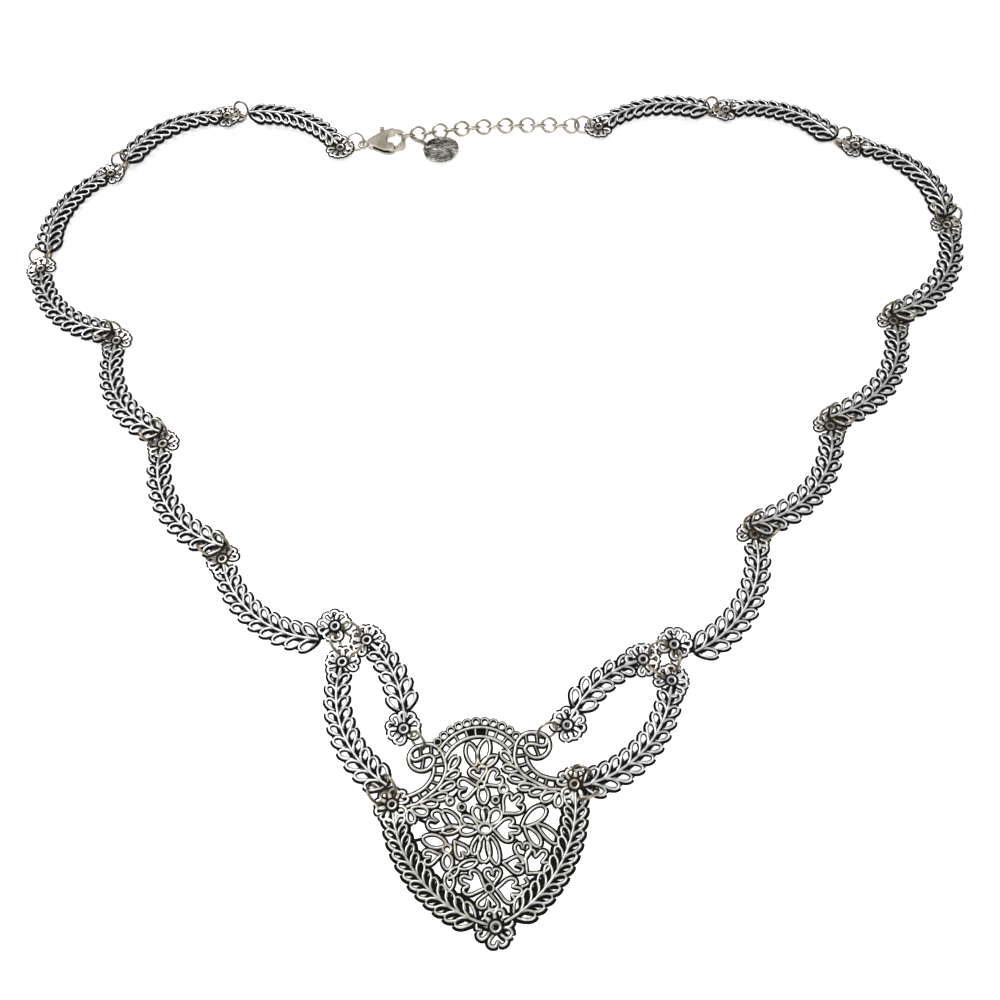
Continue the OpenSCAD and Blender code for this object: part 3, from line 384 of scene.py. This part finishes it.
def build_link(name, row, side, up, n, ends):
    length = row[3]
    at = link_frame(row, side, up, ends)
    w = Work()
    # where the branch ends short of a far flower, its chord is turned and cut
    cut, turn = (0.85, 8.2) if ends == 2 and n > 6 else (0.0, 0.0)
    chord = length - cut

    def on_spine(s):
        return rot2(spine(chord, s), turn)
    a = arc_len(chord)
    s0, s1 = (4.4, a - 0.1) if n > 6 else (4.6, a - 3.2)
    for i in range(n):
        for g in (-1, 1):
            t = i / (n - 1)
            s = lerp(s0, s1, t)
            direction = spine_dir(chord, s) + turn + 180 - g * LEAF_ANGLE[g]
            motif(w, 0, lerp(*LEAF_LEN, t), lerp(*LEAF_WID, t), lambda p, z, r=on_spine(s), d=direction: at(p, z, (r, d)),
                  tip=0.04, root=0.2, bend=-g * 8, fade=0.62, flank=0.42, inner=0.17)
    for d, ll, ww, kind in PETALS:
        motif(w, kind, ll - PETAL_AT, ww, lambda p, z, d=d: at(p, z, (rot2([PETAL_AT, 0], d), d)),
              z0=FLOWER_LIFT, h=PLATE_H + 0.06, ridge=0.42, flank=0.32, notch=0.66, root=0.3, fade=0.75, inner=0.24)
    annulus(w, (0, 0), 0.86, 0.46, lambda p, z: at(p, z), z0=FLOWER_LIFT, floor=0.92, h=PLATE_H + 0.27, flank=0.34, foot=0.85)
    if ends == 2:
        for d, ll, ww, kind in PETALS_END:
            motif(w, kind, ll - PETAL_AT, ww,
                  lambda p, z, d=d: at(p, z, (rot2([PETAL_AT, 0], d + 180) + [length, 0], d + 180)),
                  z0=FLOWER_LIFT, h=PLATE_H + 0.06, ridge=0.42, flank=0.32, notch=0.66, root=0.3, fade=0.75, inner=0.24)
        annulus(w, (length, 0), 0.86, 0.46, lambda p, z: at(p, z), z0=FLOWER_LIFT, floor=0.92, h=PLATE_H + 0.27, flank=0.34,
                foot=0.85)
    sa, sb = 1.1, a if n > 6 else a - 1.1
    rail(w, [on_spine(lerp(sa, sb, k / 30)) for k in range(31)], 0.46, lambda p, z: at(p, z), base=1.7, n=50, rise=0.12)
    if turn:
        tip = on_spine(a - 0.3)
        rail(w, [tip, tip + ([length, 0] - tip) * 0.6], 0.3, lambda p, z: at(p, z), h=0.8, base=0.9, n=4, gain=0.2)
    return w


# ---------------------------------------------------------------- materials
def node_tree(name):
    m = bpy.data.materials.new(name)
    m.use_nodes = True
    t = m.node_tree
    t.nodes.clear()
    out = t.nodes.new("ShaderNodeOutputMaterial")
    b = t.nodes.new("ShaderNodeBsdfPrincipled")
    t.links.new(b.outputs[0], out.inputs[0])
    return m, t, b


def mix_rgb(t, fac, a, b, blend="MIX"):
    n = t.nodes.new("ShaderNodeMix")
    n.data_type = "RGBA"
    n.blend_type = blend
    for sock, val in ((n.inputs[0], fac), (n.inputs[6], a), (n.inputs[7], b)):
        if isinstance(val, (int, float)):
            sock.default_value = val
        elif isinstance(val, tuple):
            sock.default_value = (*val, 1)
        else:
            t.links.new(val, sock)
    return n.outputs[2]


def math_node(t, op, a, b=None, clamp=False):
    n = t.nodes.new("ShaderNodeMath")
    n.operation = op
    n.use_clamp = clamp
    for sock, val in zip(n.inputs, (a, b)):
        if val is None:
            continue
        if isinstance(val, (int, float)):
            sock.default_value = val
        else:
            t.links.new(val, sock)
    return n.outputs[0]


def ramp(t, fac, stops):
    n = t.nodes.new("ShaderNodeValToRGB")
    t.links.new(fac, n.inputs[0])
    e = n.color_ramp.elements
    while len(e) < len(stops):
        e.new(0.5)
    for el, (pos, col) in zip(e, stops):
        el.position = pos
        el.color = (*col, 1) if isinstance(col, tuple) else (col, col, col, 1)
    return n.outputs[0]


def noise(t, scale, detail=4, rough=0.55, coord=None):
    n = t.nodes.new("ShaderNodeTexNoise")
    n.inputs["Scale"].default_value = scale
    n.inputs["Detail"].default_value = detail
    n.inputs["Roughness"].default_value = rough
    t.links.new(coord, n.inputs["Vector"])
    return n.outputs["Fac"]


def bump(t, height, strength, distance):
    n = t.nodes.new("ShaderNodeBump")
    n.inputs["Strength"].default_value = strength
    n.inputs["Distance"].default_value = distance
    t.links.new(height, n.inputs["Height"])
    return n.outputs[0]


def attribute(t, name):
    n = t.nodes.new("ShaderNodeAttribute")
    n.attribute_name = name
    return n.outputs["Fac"]


def cast_material(name, low, high):
    m, t, b = node_tree(name)
    co = t.nodes.new("ShaderNodeTexCoord").outputs["Object"]
    shine, warm = attribute(t, "shine"), attribute(t, "warm")
    wear = noise(t, 700, 5, 0.6, co)
    fine = noise(t, 3500, 3, 0.5, co)
    f = math_node(t, "ADD", shine, math_node(t, "MULTIPLY", math_node(t, "SUBTRACT", wear, 0.5), 0.7))
    f = ramp(t, f, [(0.22, 0.0), (0.62, 1.0)])
    bright = mix_rgb(t, ramp(t, wear, [(0.3, 0.0), (0.68, 1.0)]), low, high)
    warm_f = math_node(t, "MULTIPLY", warm, math_node(t, "ADD", 0.15, wear), clamp=True)
    bright = mix_rgb(t, warm_f, bright, (0.62, 0.53, 0.38))
    dark = mix_rgb(t, warm_f, (0.0030, 0.0030, 0.0032), (0.035, 0.024, 0.014))
    t.links.new(mix_rgb(t, f, dark, bright), b.inputs["Base Color"])
    t.links.new(math_node(t, "MULTIPLY", f, 0.96), b.inputs["Metallic"])
    rough = math_node(t, "ADD", math_node(t, "MULTIPLY", f, -0.26), math_node(t, "ADD", 0.50, math_node(t, "MULTIPLY", fine, 0.14)))
    t.links.new(rough, b.inputs["Roughness"])
    t.links.new(math_node(t, "ADD", math_node(t, "MULTIPLY", f, 0.4), 0.03), b.inputs["Specular IOR Level"])
    t.links.new(bump(t, math_node(t, "ADD", wear, math_node(t, "MULTIPLY", fine, 0.5)), 0.35, 0.00006), b.inputs["Normal"])
    return m


def silver_material(name, light, dark, rough, stain, hammer=0.0):
    m, t, b = node_tree(name)
    co = t.nodes.new("ShaderNodeTexCoord").outputs["Object"]
    big, fine = noise(t, 620 if hammer else 260, 4, 0.6, co), noise(t, 2600, 3, 0.5, co)
    f = ramp(t, big, [(0.36, 0.0), (0.66, 1.0)])
    c = mix_rgb(t, f, light, dark)
    spots = ramp(t, noise(t, 900, 3, 0.5, co), [(0.58, 0.0), (0.70, 1.0)])
    c = mix_rgb(t, math_node(t, "MULTIPLY", spots, stain), c, (0.22, 0.14, 0.07))
    t.links.new(c, b.inputs["Base Color"])
    b.inputs["Metallic"].default_value = 1.0
    t.links.new(math_node(t, "ADD", rough, math_node(t, "MULTIPLY", big, 0.16)), b.inputs["Roughness"])
    if hammer:
        t.links.new(bump(t, big, 0.9, hammer), b.inputs["Normal"])
    else:
        t.links.new(bump(t, fine, 0.25, 0.00005), b.inputs["Normal"])
    return m


cast_metal = cast_material("oxidised_silver", (0.54, 0.54, 0.525), (0.88, 0.88, 0.87))
pendant_metal = cast_material("oxidised_silver_worn", (0.44, 0.425, 0.385), (0.82, 0.81, 0.76))
ring_metal = silver_material("ring_wire", (0.50, 0.46, 0.38), (0.20, 0.165, 0.115), 0.20, 0.6)
clasp_metal = silver_material("clasp_polish", (0.56, 0.53, 0.47), (0.28, 0.245, 0.19), 0.22, 0.4)
chain_metal = silver_material("chain_wire", (0.66, 0.63, 0.56), (0.34, 0.30, 0.235), 0.20, 0.35)
tag_metal = silver_material("tag_silver", (0.50, 0.48, 0.44), (0.045, 0.043, 0.04), 0.26, 0.5, 0.0008)

# Warm tarnish sits where the rings rub: joints, corners, clasp end
WARM = [(r[0], r[1]) for r in LEFT[1:] + RIGHT[1:]]
WARM += [(-32.8, -38.6), (20.9, -48.4), (PEND[0] - 15.1, PEND[1] + 5.8), (PEND[0] + 15.6, PEND[1] + 4.8),
         (PEND[0] - 0.2, PEND[1] + 8.4), (PEND[0] - 5.6, PEND[1] - 3.8), (LEFT[0][0], LEFT[0][1]), (RIGHT[0][0], RIGHT[0][1])]
WARM = np.array(WARM)


def to_object(name, work, replaces, body="necklace", material=None):
    v, f, s = np.concatenate(work.v), np.concatenate(work.f), np.concatenate(work.s)
    me = bpy.data.meshes.new(name)
    faces = [tuple(q) if q[2] != q[3] else tuple(q[:3]) for q in f.tolist()]
    me.from_pydata((v * MM).tolist(), [], faces)
    me.attributes.new("shine", "FLOAT", "POINT").data.foreach_set("value", s.astype(np.float32))
    d = np.linalg.norm(v[:, None, :2] - WARM[None], axis=2).min(1)
    warm = 0.6 * np.exp(-(d / 1.9) ** 2)
    me.attributes.new("warm", "FLOAT", "POINT").data.foreach_set("value", warm.astype(np.float32))
    me.update()
    o = bpy.data.objects.new(name, me)
    bpy.context.scene.collection.objects.link(o)
    me.polygons.foreach_set("use_smooth", [True] * len(me.polygons))
    me.set_sharp_from_angle(angle=rad(48))
    me.materials.append(material or cast_metal)
    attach(o, body)
    if replaces:
        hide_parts(*replaces)
    return o


def fix_winding(work):
    """Turns each shell so that its faces look outwards."""
    start = 0
    out = []
    for k, (v, f) in enumerate(zip(work.v, work.shells)):
        g = f - start
        if orient(v, g) < 0:
            g = g[:, ::-1]
        out.append(g + start)
        start += len(v)
    work.f = out


# ---------------------------------------------------------------- build links
for names, rows, side in (("link_left_", LEFT, -1), ("link_right_", RIGHT, 1)):
    for i, row in enumerate(rows):
        last = i == 6
        w = build_link(names, row, side, 0 if last else TAIL_LIFT, 10, 2 if last else 1)
        fix_winding(w)
        to_object("cast_" + names + str(i + 1), w, [names + str(i + 1)])
for i, word in enumerate(("left", "right")):
    w = build_link("", OUTER[i], -1 if i == 0 else 1, TAIL_LIFT, 10, 1)
    fix_winding(w)
    to_object("cast_strand_outer_" + word, w, ["strand_outer_" + word])
    w = build_link("", INNER[i], 1 if i == 0 else -1, 0, 5, 2)
    fix_winding(w)
    to_object("cast_strand_inner_" + word, w, ["strand_inner_" + word])

# ---------------------------------------------------------------- pendant
# kind (0 drop, 1 heart, 2 pointed, 3 three-lobed), root x and y, direction,
# length, width, bend, depth of a heart's notch
MOTIFS = [
    # leaves under the arch
    [2, -0.9, 8.8, 101, 4.15, 1.7, 0, 0.7], [2, 0, 9, 70, 4.45, 1.8, 0, 0.7], [2, 0.1, 8.6, 28, 3.1, 1.3, 0, 0.7],
    # upper flower
    [1, -0.3, 6.2, 97, 2.4, 3, 0, 0.65], [1, 0.35, 5.5, 27, 3, 3, 0, 0.72], [1, -0.85, 5.25, 182, 3.2, 3.5, 0, 0.58],
    [2, -0.1, 5.3, -88, 3, 1.6, 0, 0.7],
    # clover and daisy
    [3, 3.1, 0.4, 40, 4.1, 3.9, 0, 0.7], [0, -1.4, -1.2, 146, 3, 1.5, 0, 0.7],
    [0, -0.5, -0.9, 110, 3.1, 1.75, 0, 0.7], [0, 0, -0.9, 87, 2.6, 1.2, 0, 0.7], [0, 0.5, -1.3, 51, 3, 1.9, 0, 0.7],
    [0, -1.4, -1.9, 174, 3, 1.6, 0, 0.7], [0, -0.5, -2.9, 264, 4.3, 2, 0, 0.7],
    [0, -1.3, -2.8, 247, 3.2, 1.3, 0, 0.7], [2, 0.35, -3.1, 280, 4.8, 1.6, 0, 0.7],
    [3, 1.15, -2.05, -8, 4.3, 3.8, 0, 0.7],
    # left of the daisy
    [2, -4.3, -1.2, 130, 4, 1.6, 0, 0.7], [1, -5.85, -0.9, 150, 3.8, 3.3, 0, 0.62], [2, -4.4, -1.2, 186, 2.9, 1.1, 0, 0.7],
    # three leaves right of it
    [0, 5.8, -2.1, 33, 4.9, 2.3, 0, 0.7], [0, 6.2, -2.1, -52, 4.1, 1.7, -15, 0.7],
    [0, 8.2, -1.9, -42, 4.7, 1.6, -14, 0.7],
    # left flower
    [2, -6.8, -3.6, 160, 4, 1.9, 0, 0.7], [1, -7.8, -5.2, 186, 2.8, 2.4, 0, 0.6],
    [1, -5.4, -3.3, -60, 3, 2.2, 0, 0.7], [2, -6.8, -5.1, -91, 2.6, 1.5, 0, 0.7],
    # leaves below it
    [2, -5.1, -7.6, 13, 3.2, 1.2, 0, 0.7], [2, -6.9, -9, 40, 2.3, 1, 0, 0.7], [2, -6.8, -10.9, 90, 2.7, 1.4, 0, 0.7],
    # lower flower
    [3, -1.2, -11.2, 153, 4.2, 4, 0, 0.7], [1, 0.2, -10.9, 88, 2.5, 2.6, 0, 0.62],
    [3, 0.7, -11.6, -12, 4.1, 3.9, 0, 0.7], [1, -0.6, -12, 258, 2.6, 3.4, 0, 0.42],
    # hearts right of it
    [1, 2.2, -7.6, -14, 3.3, 2.8, 0, 0.6], [1, 5.4, -7.8, 86, 3, 2.6, 0, 0.72], [3, 5.9, -9.6, 43, 4.5, 4.3, 0, 0.7]]
# x, y, outer radius, hole radius, 1 for a filled hub
DOTS = [
    [-5.6, 3.4, 0.75, 0.3, 0], [-3.75, 2.1, 0.7, 0.4, 1], [1.95, 2.7, 0.7, 0.35, 1], [3.4, 4.4, 0.88, 0.45, 0],
    [-0.25, 5.5, 0.8, 0.4, 1], [-6.75, -4.35, 0.85, 0.45, 0], [-0.45, -11.4, 0.85, 0.5, 1]]
TIES = [[-5.1, 4.0, -3.9, 5.0], [1.2, 3.2, 0.8, 3.6], [2.4, 3.2, 3.0, 3.8], [-3.3, 1.6, -2.5, 0.6],
        [-9.6, 0.2, -11.0, 1.0], [9.8, 0.9, 11.6, 1.6], [-10.6, -2.2, -12.2, -2.4], [11.3, -4.6, 12.6, -4.6],
        [-10.4, -6.2, -11.2, -7.0], [9.7, -8.0, 11.0, -8.4], [-7.0, -10.6, -7.4, -11.6], [-4.9, -11.6, -5.6, -12.8],
        [4.9, -12.2, 5.4, -13.2], [0.0, -14.0, 0.1, -15.2], [-1.8, 12.8, -1.9, 13.6], [1.6, 13.0, 1.7, 13.5],
        [0.2, 2.4, 0.4, 1.7], [3.2, 0.4, 2.4, 0.8], [1.4, -7.7, 2.1, -7.8], [1.4, -7.8, 0.8, -8.4],
        [5.2, -4.9, 4.6, -4.0], [6.6, -5.0, 7.8, -5.3], [-5.4, -7.4, -6.2, -7.2], [4.7, -9.2, 6.2, -9.35],
        [-5.7, -3.4, -4.4, -2.4], [6.2, -2.1, 8.3, -1.9]]
# small free curls: three points each
CURLS = [[[5.4, -10.3], [5.8, -11.3], [4.7, -11.7]]]
# leaves along the inside of the scrolls: x, y, direction, length, width
FRINGE = [
    [5.4, 8.6, 132, 2.7, 1.25], [6.2, 7.3, 165, 2.6, 1.25], [7.3, 5.4, 165, 2.9, 1.25], [8.9, 4.2, 178, 3, 1.25],
    [10.5, 3.5, 187, 2.9, 1.35], [12.1, 2.9, 205, 2.9, 1.5], [12.5, 2.7, 262, 2.3, 1.35]]
# inner rail up to the wheel, the wheel and the curl inside it
RAIL_UP = [[12.9, 3.2], [12.0, 3.4], [11.1, 3.5], [10.1, 4.1], [8.7, 5.0], [7.55, 5.85], [6.75, 6.7], [6.15, 7.75],
           [5.8, 8.85], [5.85, 10.0]]
WHEEL_AT, WHEEL_R, SWING_R = (9.75, 11.15), 2.15, 3.75
WHEEL = [[WHEEL_AT[0] + lerp(SWING_R, WHEEL_R, min(1, (186 - q) / 96)) * math.cos(rad(q)),
          WHEEL_AT[1] + lerp(SWING_R, WHEEL_R, min(1, (186 - q) / 96)) * math.sin(rad(q))] for q in range(186, -169, -12)]
RAIL_CURL = [[7.7, 10.9], [8.3, 11.5], [9.25, 11.45], [10.25, 11.05], [10.9, 10.95], [11.4, 11.3], [11.55, 12.0]]
RAIL_IN = RAIL_UP + WHEEL + RAIL_CURL
RAIL_OUT = [[13.1, 4.9], [11.9, 5.1], [10.85, 5.45], [9.75, 6.0], [8.8, 6.9], [8.25, 7.7], [7.9, 8.6], [7.8, 9.4]]
CELLS = [[12.0, 3.4, 12.3, 5.05], [10.2, 4.0, 10.8, 5.45], [8.6, 5.0, 9.5, 6.15], [7.0, 6.3, 8.6, 7.1], [6.05, 7.95, 8.0, 8.3],
         [5.85, 9.75, 7.75, 9.75], [6.1, 11.5, 7.8, 11.0], [8.1, 11.5, 8.05, 13.1], [9.9, 11.3, 9.9, 13.3],
         [9.4, 11.2, 9.95, 9.1]]
CORNERS = [[-15.1, 3.8], [15.2, 3.8]]
PETALS_CORNER = [[-35, 2.8, 2.3, 1], [10, 2.7, 1.5, 0], [55, 2.7, 1.6, 0],
                 [100, 2.7, 1.6, 0], [150, 2.8, 2.0, 1], [-82, 2.7, 1.6, 0], [-140, 2.7, 1.5, 0]]
PETALS_BOTTOM = [[113, 2.8, 1.5, 0], [69, 2.8, 1.5, 0], [18, 2.8, 1.6, 0], [-33, 2.8, 1.5, 0],
                 [-88, 2.9, 2.8, 1], [186, 3.0, 2.7, 1], [150, 2.5, 1.3, 0]]
# arch over the flowers: centre, radii of the rails and of the scallops
ARCH, ARCH_IN, ARCH_OUT, SCALLOP = (-0.4, 7.65), 6.2, 7.8, 8.85
ARCH_BARS = [33, 46, 60.5, 74, 89.5, 102, 117, 131, 144]
BORDER_ANGLE = {-1: 35, 1: 25}
PEND_H = 1.2


def pend_frame(g=1):
    def at(p, z, local=None):
        if local is not None:
            p = rot2(p, local[1]) + local[0]
        return np.column_stack([PEND[0] + g * p[:, 0], PEND[1] + p[:, 1], z])
    return at


def build_pendant():
    w = Work()
    mid = pend_frame()
    # floral middle
    for kind, x, y, d, ll, ww, b, notch in MOTIFS:
        motif(w, kind, ll, ww, lambda p, z: mid(p, z, ((x, y), d)), h=PEND_H - 0.05, bend=b, notch=notch)
    annulus(w, (-0.27, -1.83), 1.0, 0.62, lambda p, z: mid(p, z), h=PEND_H + 0.1, squash=1.3)
    for x, y, ro, ri, hub in DOTS:
        annulus(w, (x, y), ro, ri, lambda p, z: mid(p, z), h=PEND_H + (0.12 if hub else 0.0), floor=0.8 if hub else None)
    for x0, y0, x1, y1 in TIES:
        rail(w, [[x0, y0], [x1, y1]], 0.2, lambda p, z: mid(p, z), h=0.8, base=0.5, n=3, gain=0.2)
    for curl in CURLS:
        rail(w, curl, 0.38, lambda p, z: mid(p, z), h=PEND_H - 0.05, base=0.8, n=12)
    # borders: a leafy branch down each side
    br, bl = 22.0, 26.0
    bh = math.degrees(math.asin(bl / 2 / br))
    ba = 2 * rad(bh) * br

    def on_branch(s, off=0.0):
        q = rad(90 + bh - s / br * 180 / math.pi)
        return np.array([bl / 2 + (br + off) * math.cos(q), (br + off) * math.sin(q) - br * math.cos(rad(bh))])

    for g in (1, -1):
        at = pend_frame(g)

        def branch(p, z, local=None):
            if local is not None:
                p = rot2(p, local[1]) + local[0]
            c = np.array([bl / 2, -br * math.cos(rad(bh))])
            d = np.linalg.norm(p - c, axis=1) - br
            up = 0.35 * np.clip(1 - np.abs(d) / 2.6, 0, 1) * smooth(1.5, 4.5, np.linalg.norm(p, axis=1))
            return at(rot2(p, -125.4) + CORNERS[1], z + up)
        for i in range(12):
            for k in (-1, 1):
                s = lerp(4.4, ba - 3.2, i / 11)
                q = 90 + bh - s / br * 180 / math.pi
                root = on_branch(s)
                motif(w, 0, lerp(2.8, 3.4, i / 12), lerp(1.2, 1.4, i / 12),
                      lambda p, z: branch(p, z, (root, q + 90 - k * BORDER_ANGLE[k])), h=PEND_H, bend=-k * 8, tip=0.0,
                      root=0.2, fade=0.6, flank=0.52, inner=0.17, gain=0.88)
        rail(w, [on_branch(lerp(1.4, ba - 1.4, t / 24)) for t in range(25)], 0.44, lambda p, z: branch(p, z),
             h=PEND_H, base=1.5, n=48, rise=0.12)
        # scrolls: double rail with cells, curling into a small wheel
        rail(w, RAIL_IN, 0.50, lambda p, z: at(p, z), h=PEND_H, base=1.0, n=110, rise=0.05)
        rail(w, RAIL_OUT, 0.46, lambda p, z: at(p, z), h=PEND_H, base=0.95, n=30, rise=0.0)
        for x0, y0, x1, y1 in CELLS:
            rail(w, [[x0, y0], [x1, y1]], 0.26, lambda p, z: at(p, z), h=PEND_H - 0.2, base=0.8, n=4, gain=0.4)
        for x, y, d, ll, ww in FRINGE:
            motif(w, 0, ll, ww, lambda p, z: at(p, z, ((x, y), d)), h=PEND_H - 0.05, bend=-8)
        # corner flower
        for d, ll, ww, kind in PETALS_CORNER:
            motif(w, kind, ll - PETAL_AT, ww, lambda p, z: at(p, z, (rot2([PETAL_AT, 0], d) + CORNERS[1], d)),
                  z0=FLOWER_LIFT, h=PEND_H + 0.05, ridge=0.42, flank=0.34, notch=0.66, root=0.3, fade=0.75, inner=0.24)
        annulus(w, CORNERS[1], 0.86, 0.46, lambda p, z: at(p, z), z0=FLOWER_LIFT, h=PEND_H + 0.22, floor=0.92, flank=0.34,
                foot=0.85)
    # bottom flower
    for d, ll, ww, kind in PETALS_BOTTOM:
        motif(w, kind, ll - PETAL_AT, ww, lambda p, z: mid(p, z, (rot2([PETAL_AT, 0], d) + [0, -17.45], d)),
              h=PEND_H + 0.05, ridge=0.42, flank=0.46, inner=0.24, root=0.25, fade=0.6, gain=0.9)
    annulus(w, (0, -17.45), 0.95, 0.52, lambda p, z: mid(p, z), h=PEND_H + 0.22, floor=0.85, flank=0.34, foot=0.9)
    # arch: two rails, cells between them and a row of scallops outside
    def arc(r, a, b, n=40):
        t = np.radians(np.linspace(a, b, n))
        return np.array(ARCH) + r * np.stack([np.cos(t), np.sin(t)], 1)
    rail(w, arc(ARCH_IN, 24, 156), 0.5, lambda p, z: mid(p, z), h=PEND_H, base=0.8, n=60, smooth_line=False)
    rail(w, arc(ARCH_OUT, 33, 146), 0.45, lambda p, z: mid(p, z), h=PEND_H, base=0.9, n=60, smooth_line=False)
    rail(w, arc((ARCH_IN + ARCH_OUT) / 2, 74, 102), 0.5, lambda p, z: mid(p, z), h=PEND_H - 0.4, base=1.5,
         smooth_line=False, gain=0.0)
    for q in ARCH_BARS:
        rail(w, [arc(ARCH_IN, q, q, 1)[0], arc(ARCH_OUT, q, q, 1)[0]], 0.3, lambda p, z: mid(p, z), h=PEND_H - 0.2,
             base=0.7, n=3, gain=0.5)
    for k in range(11):
        annulus(w, arc(SCALLOP, 39.2 + 9.8 * k, 0, 1)[0], 0.70, 0.48, lambda p, z: mid(p, z), h=PEND_H - 0.2, n=22,
                gain=0.75, flank=0.22, floor=0.7 if k == 10 else None)
    fix_winding(w)
    return w


to_object("cast_pendant", build_pendant(), ["pendant"], material=pendant_metal)

# ---------------------------------------------------------------- chain
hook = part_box("hook_ring")
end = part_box("chain_end_ring")
hook_c = np.array([(hook[0][k] + hook[1][k]) / 2 for k in range(3)]) / MM
end_c = np.array([(end[0][k] + end[1][k]) / 2 for k in range(3)]) / MM


def torus(work, c, x_axis, y_axis, r, wire, n=30, m=10, stretch=1.0):
    a = np.linspace(0, 2 * math.pi, n, endpoint=False)
    z_axis = np.cross(x_axis, y_axis)
    rings = []
    for j in range(m):
        b = 2 * math.pi * j / m
        rr = r + wire / 2 * math.cos(b)
        rings.append(c + np.outer(np.cos(a) * rr * stretch, x_axis) + np.outer(np.sin(a) * rr, y_axis)
                     + wire / 2 * math.sin(b) * z_axis)
    work.grid(rings, [1.0] * m)


chain = Work()
wire, link_r, stretch = 0.58, 1.45, 1.08
a = hook_c + [1.3, 0.1, 0]
b = end_c + [-1.3, 0.0, 0]
d = b - a
n_side = np.array([-d[1], d[0], 0]) / np.linalg.norm(d[:2])
# as many links as keep each inside the next one with a little play
count = math.ceil(np.linalg.norm(d) * 1.005 / (2 * link_r * stretch - wire - 0.05))
for i in range(count):
    t = (i + 0.5) / count
    c = a + d * t + n_side * 1.2 * 4 * t * (1 - t)
    tang = d + n_side * 1.2 * 4 * (1 - 2 * t)
    tang[2] = 0
    tang /= np.linalg.norm(tang)
    side = np.array([-tang[1], tang[0], 0])
    lean = rad(45 if i % 2 == 0 else -45)
    up = np.array([0, 0, 1.0])
    y_axis = side * math.cos(lean) + up * math.sin(lean)
    c[2] = link_r * abs(math.sin(lean)) + wire / 2 + 0.02
    torus(chain, c, tang, y_axis, link_r, wire, stretch=stretch)
fix_winding(chain)
to_object("rolo_chain", chain, ["extension_chain"], material=chain_metal)

# ---------------------------------------------------------------- CAD nodes kept
for name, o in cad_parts.items():
    if name.startswith(("joint_rings", "junction_rings", "corner_rings", "scroll_ring", "tag_ring")):
        mat = ring_metal
    elif name in ("clasp_ring", "hook_ring", "chain_end_ring"):
        mat = chain_metal
    elif name.startswith("clasp_"):
        mat = clasp_metal
    elif name == "tag_disc":
        mat = tag_metal
    else:
        continue
    o.data.materials.clear()
    o.data.materials.append(mat)

# ---------------------------------------------------------------- stage
m, t, bsdf = node_tree("paper")
co = t.nodes.new("ShaderNodeTexCoord").outputs["Object"]
c = mix_rgb(t, noise(t, 6, 3, 0.5, co), (0.93, 0.93, 0.93), (0.95, 0.95, 0.95))
t.links.new(c, bsdf.inputs["Base Color"])
bsdf.inputs["Roughness"].default_value = 0.9
bpy.ops.mesh.primitive_plane_add(size=6, location=(0, 0, -0.0001))
floor = bpy.context.object
floor.name = "floor"
floor.data.materials.append(m)

world = bpy.data.worlds.new("studio")
bpy.context.scene.world = world
world.use_nodes = True
wt = world.node_tree
wt.nodes.clear()
out = wt.nodes.new("ShaderNodeOutputWorld")
bg = wt.nodes.new("ShaderNodeBackground")
wt.links.new(bg.outputs[0], out.inputs[0])
gen = wt.nodes.new("ShaderNodeTexCoord")
sep = wt.nodes.new("ShaderNodeSeparateXYZ")
wt.links.new(gen.outputs["Generated"], sep.inputs[0])
sky = ramp(wt, sep.outputs["Z"], [(0.0, 0.05), (0.50, 0.10), (0.78, 0.95), (1.0, 1.2)])
wt.links.new(sky, bg.inputs["Color"])
bg.inputs["Strength"].default_value = 1.0


def area(name, loc, target, size, energy, color=(1, 1, 1)):
    l = bpy.data.lights.new(name, "AREA")
    l.shape = "RECTANGLE"
    l.size, l.size_y = size
    l.energy = energy
    l.color = color
    o = bpy.data.objects.new(name, l)
    bpy.context.scene.collection.objects.link(o)
    o.location = loc
    o.rotation_euler = (Vector(target) - Vector(loc)).to_track_quat("-Z", "Y").to_euler()
    return o


area("key", (-0.28, 0.30, 0.62), (0, 0, 0), (0.34, 0.34), 3.0)
# small light beside the camera, so that the openings read as floor
front = area("front", (0.0, -0.15, 0.262), (0, 0, 0), (0.06, 0.06), 1.15)
front.visible_glossy = False

# ---------------------------------------------------------------- camera
cam = bpy.data.cameras.new("camera")
cam.sensor_width = 36
cam.lens = 46.8
cam.clip_start, cam.clip_end = 0.01, 10
cam_o = bpy.data.objects.new("camera", cam)
bpy.context.scene.collection.objects.link(cam_o)
elev, roll = rad(62.2), rad(-6.42)
forward = Vector((0, math.cos(elev), -math.sin(elev)))
up = Vector((0, math.sin(elev), math.cos(elev)))
right = Vector((1, 0, 0))
img_r = right * math.cos(roll) + up * math.sin(roll)
img_u = -right * math.sin(roll) + up * math.cos(roll)
mat = Matrix((img_r, img_u, -forward)).transposed().to_4x4()
mat.translation = Vector((-0.0034, -0.126, 0.214))
cam_o.matrix_world = mat
bpy.context.scene.camera = cam_o
bpy.context.scene.view_settings.view_transform = "Standard"
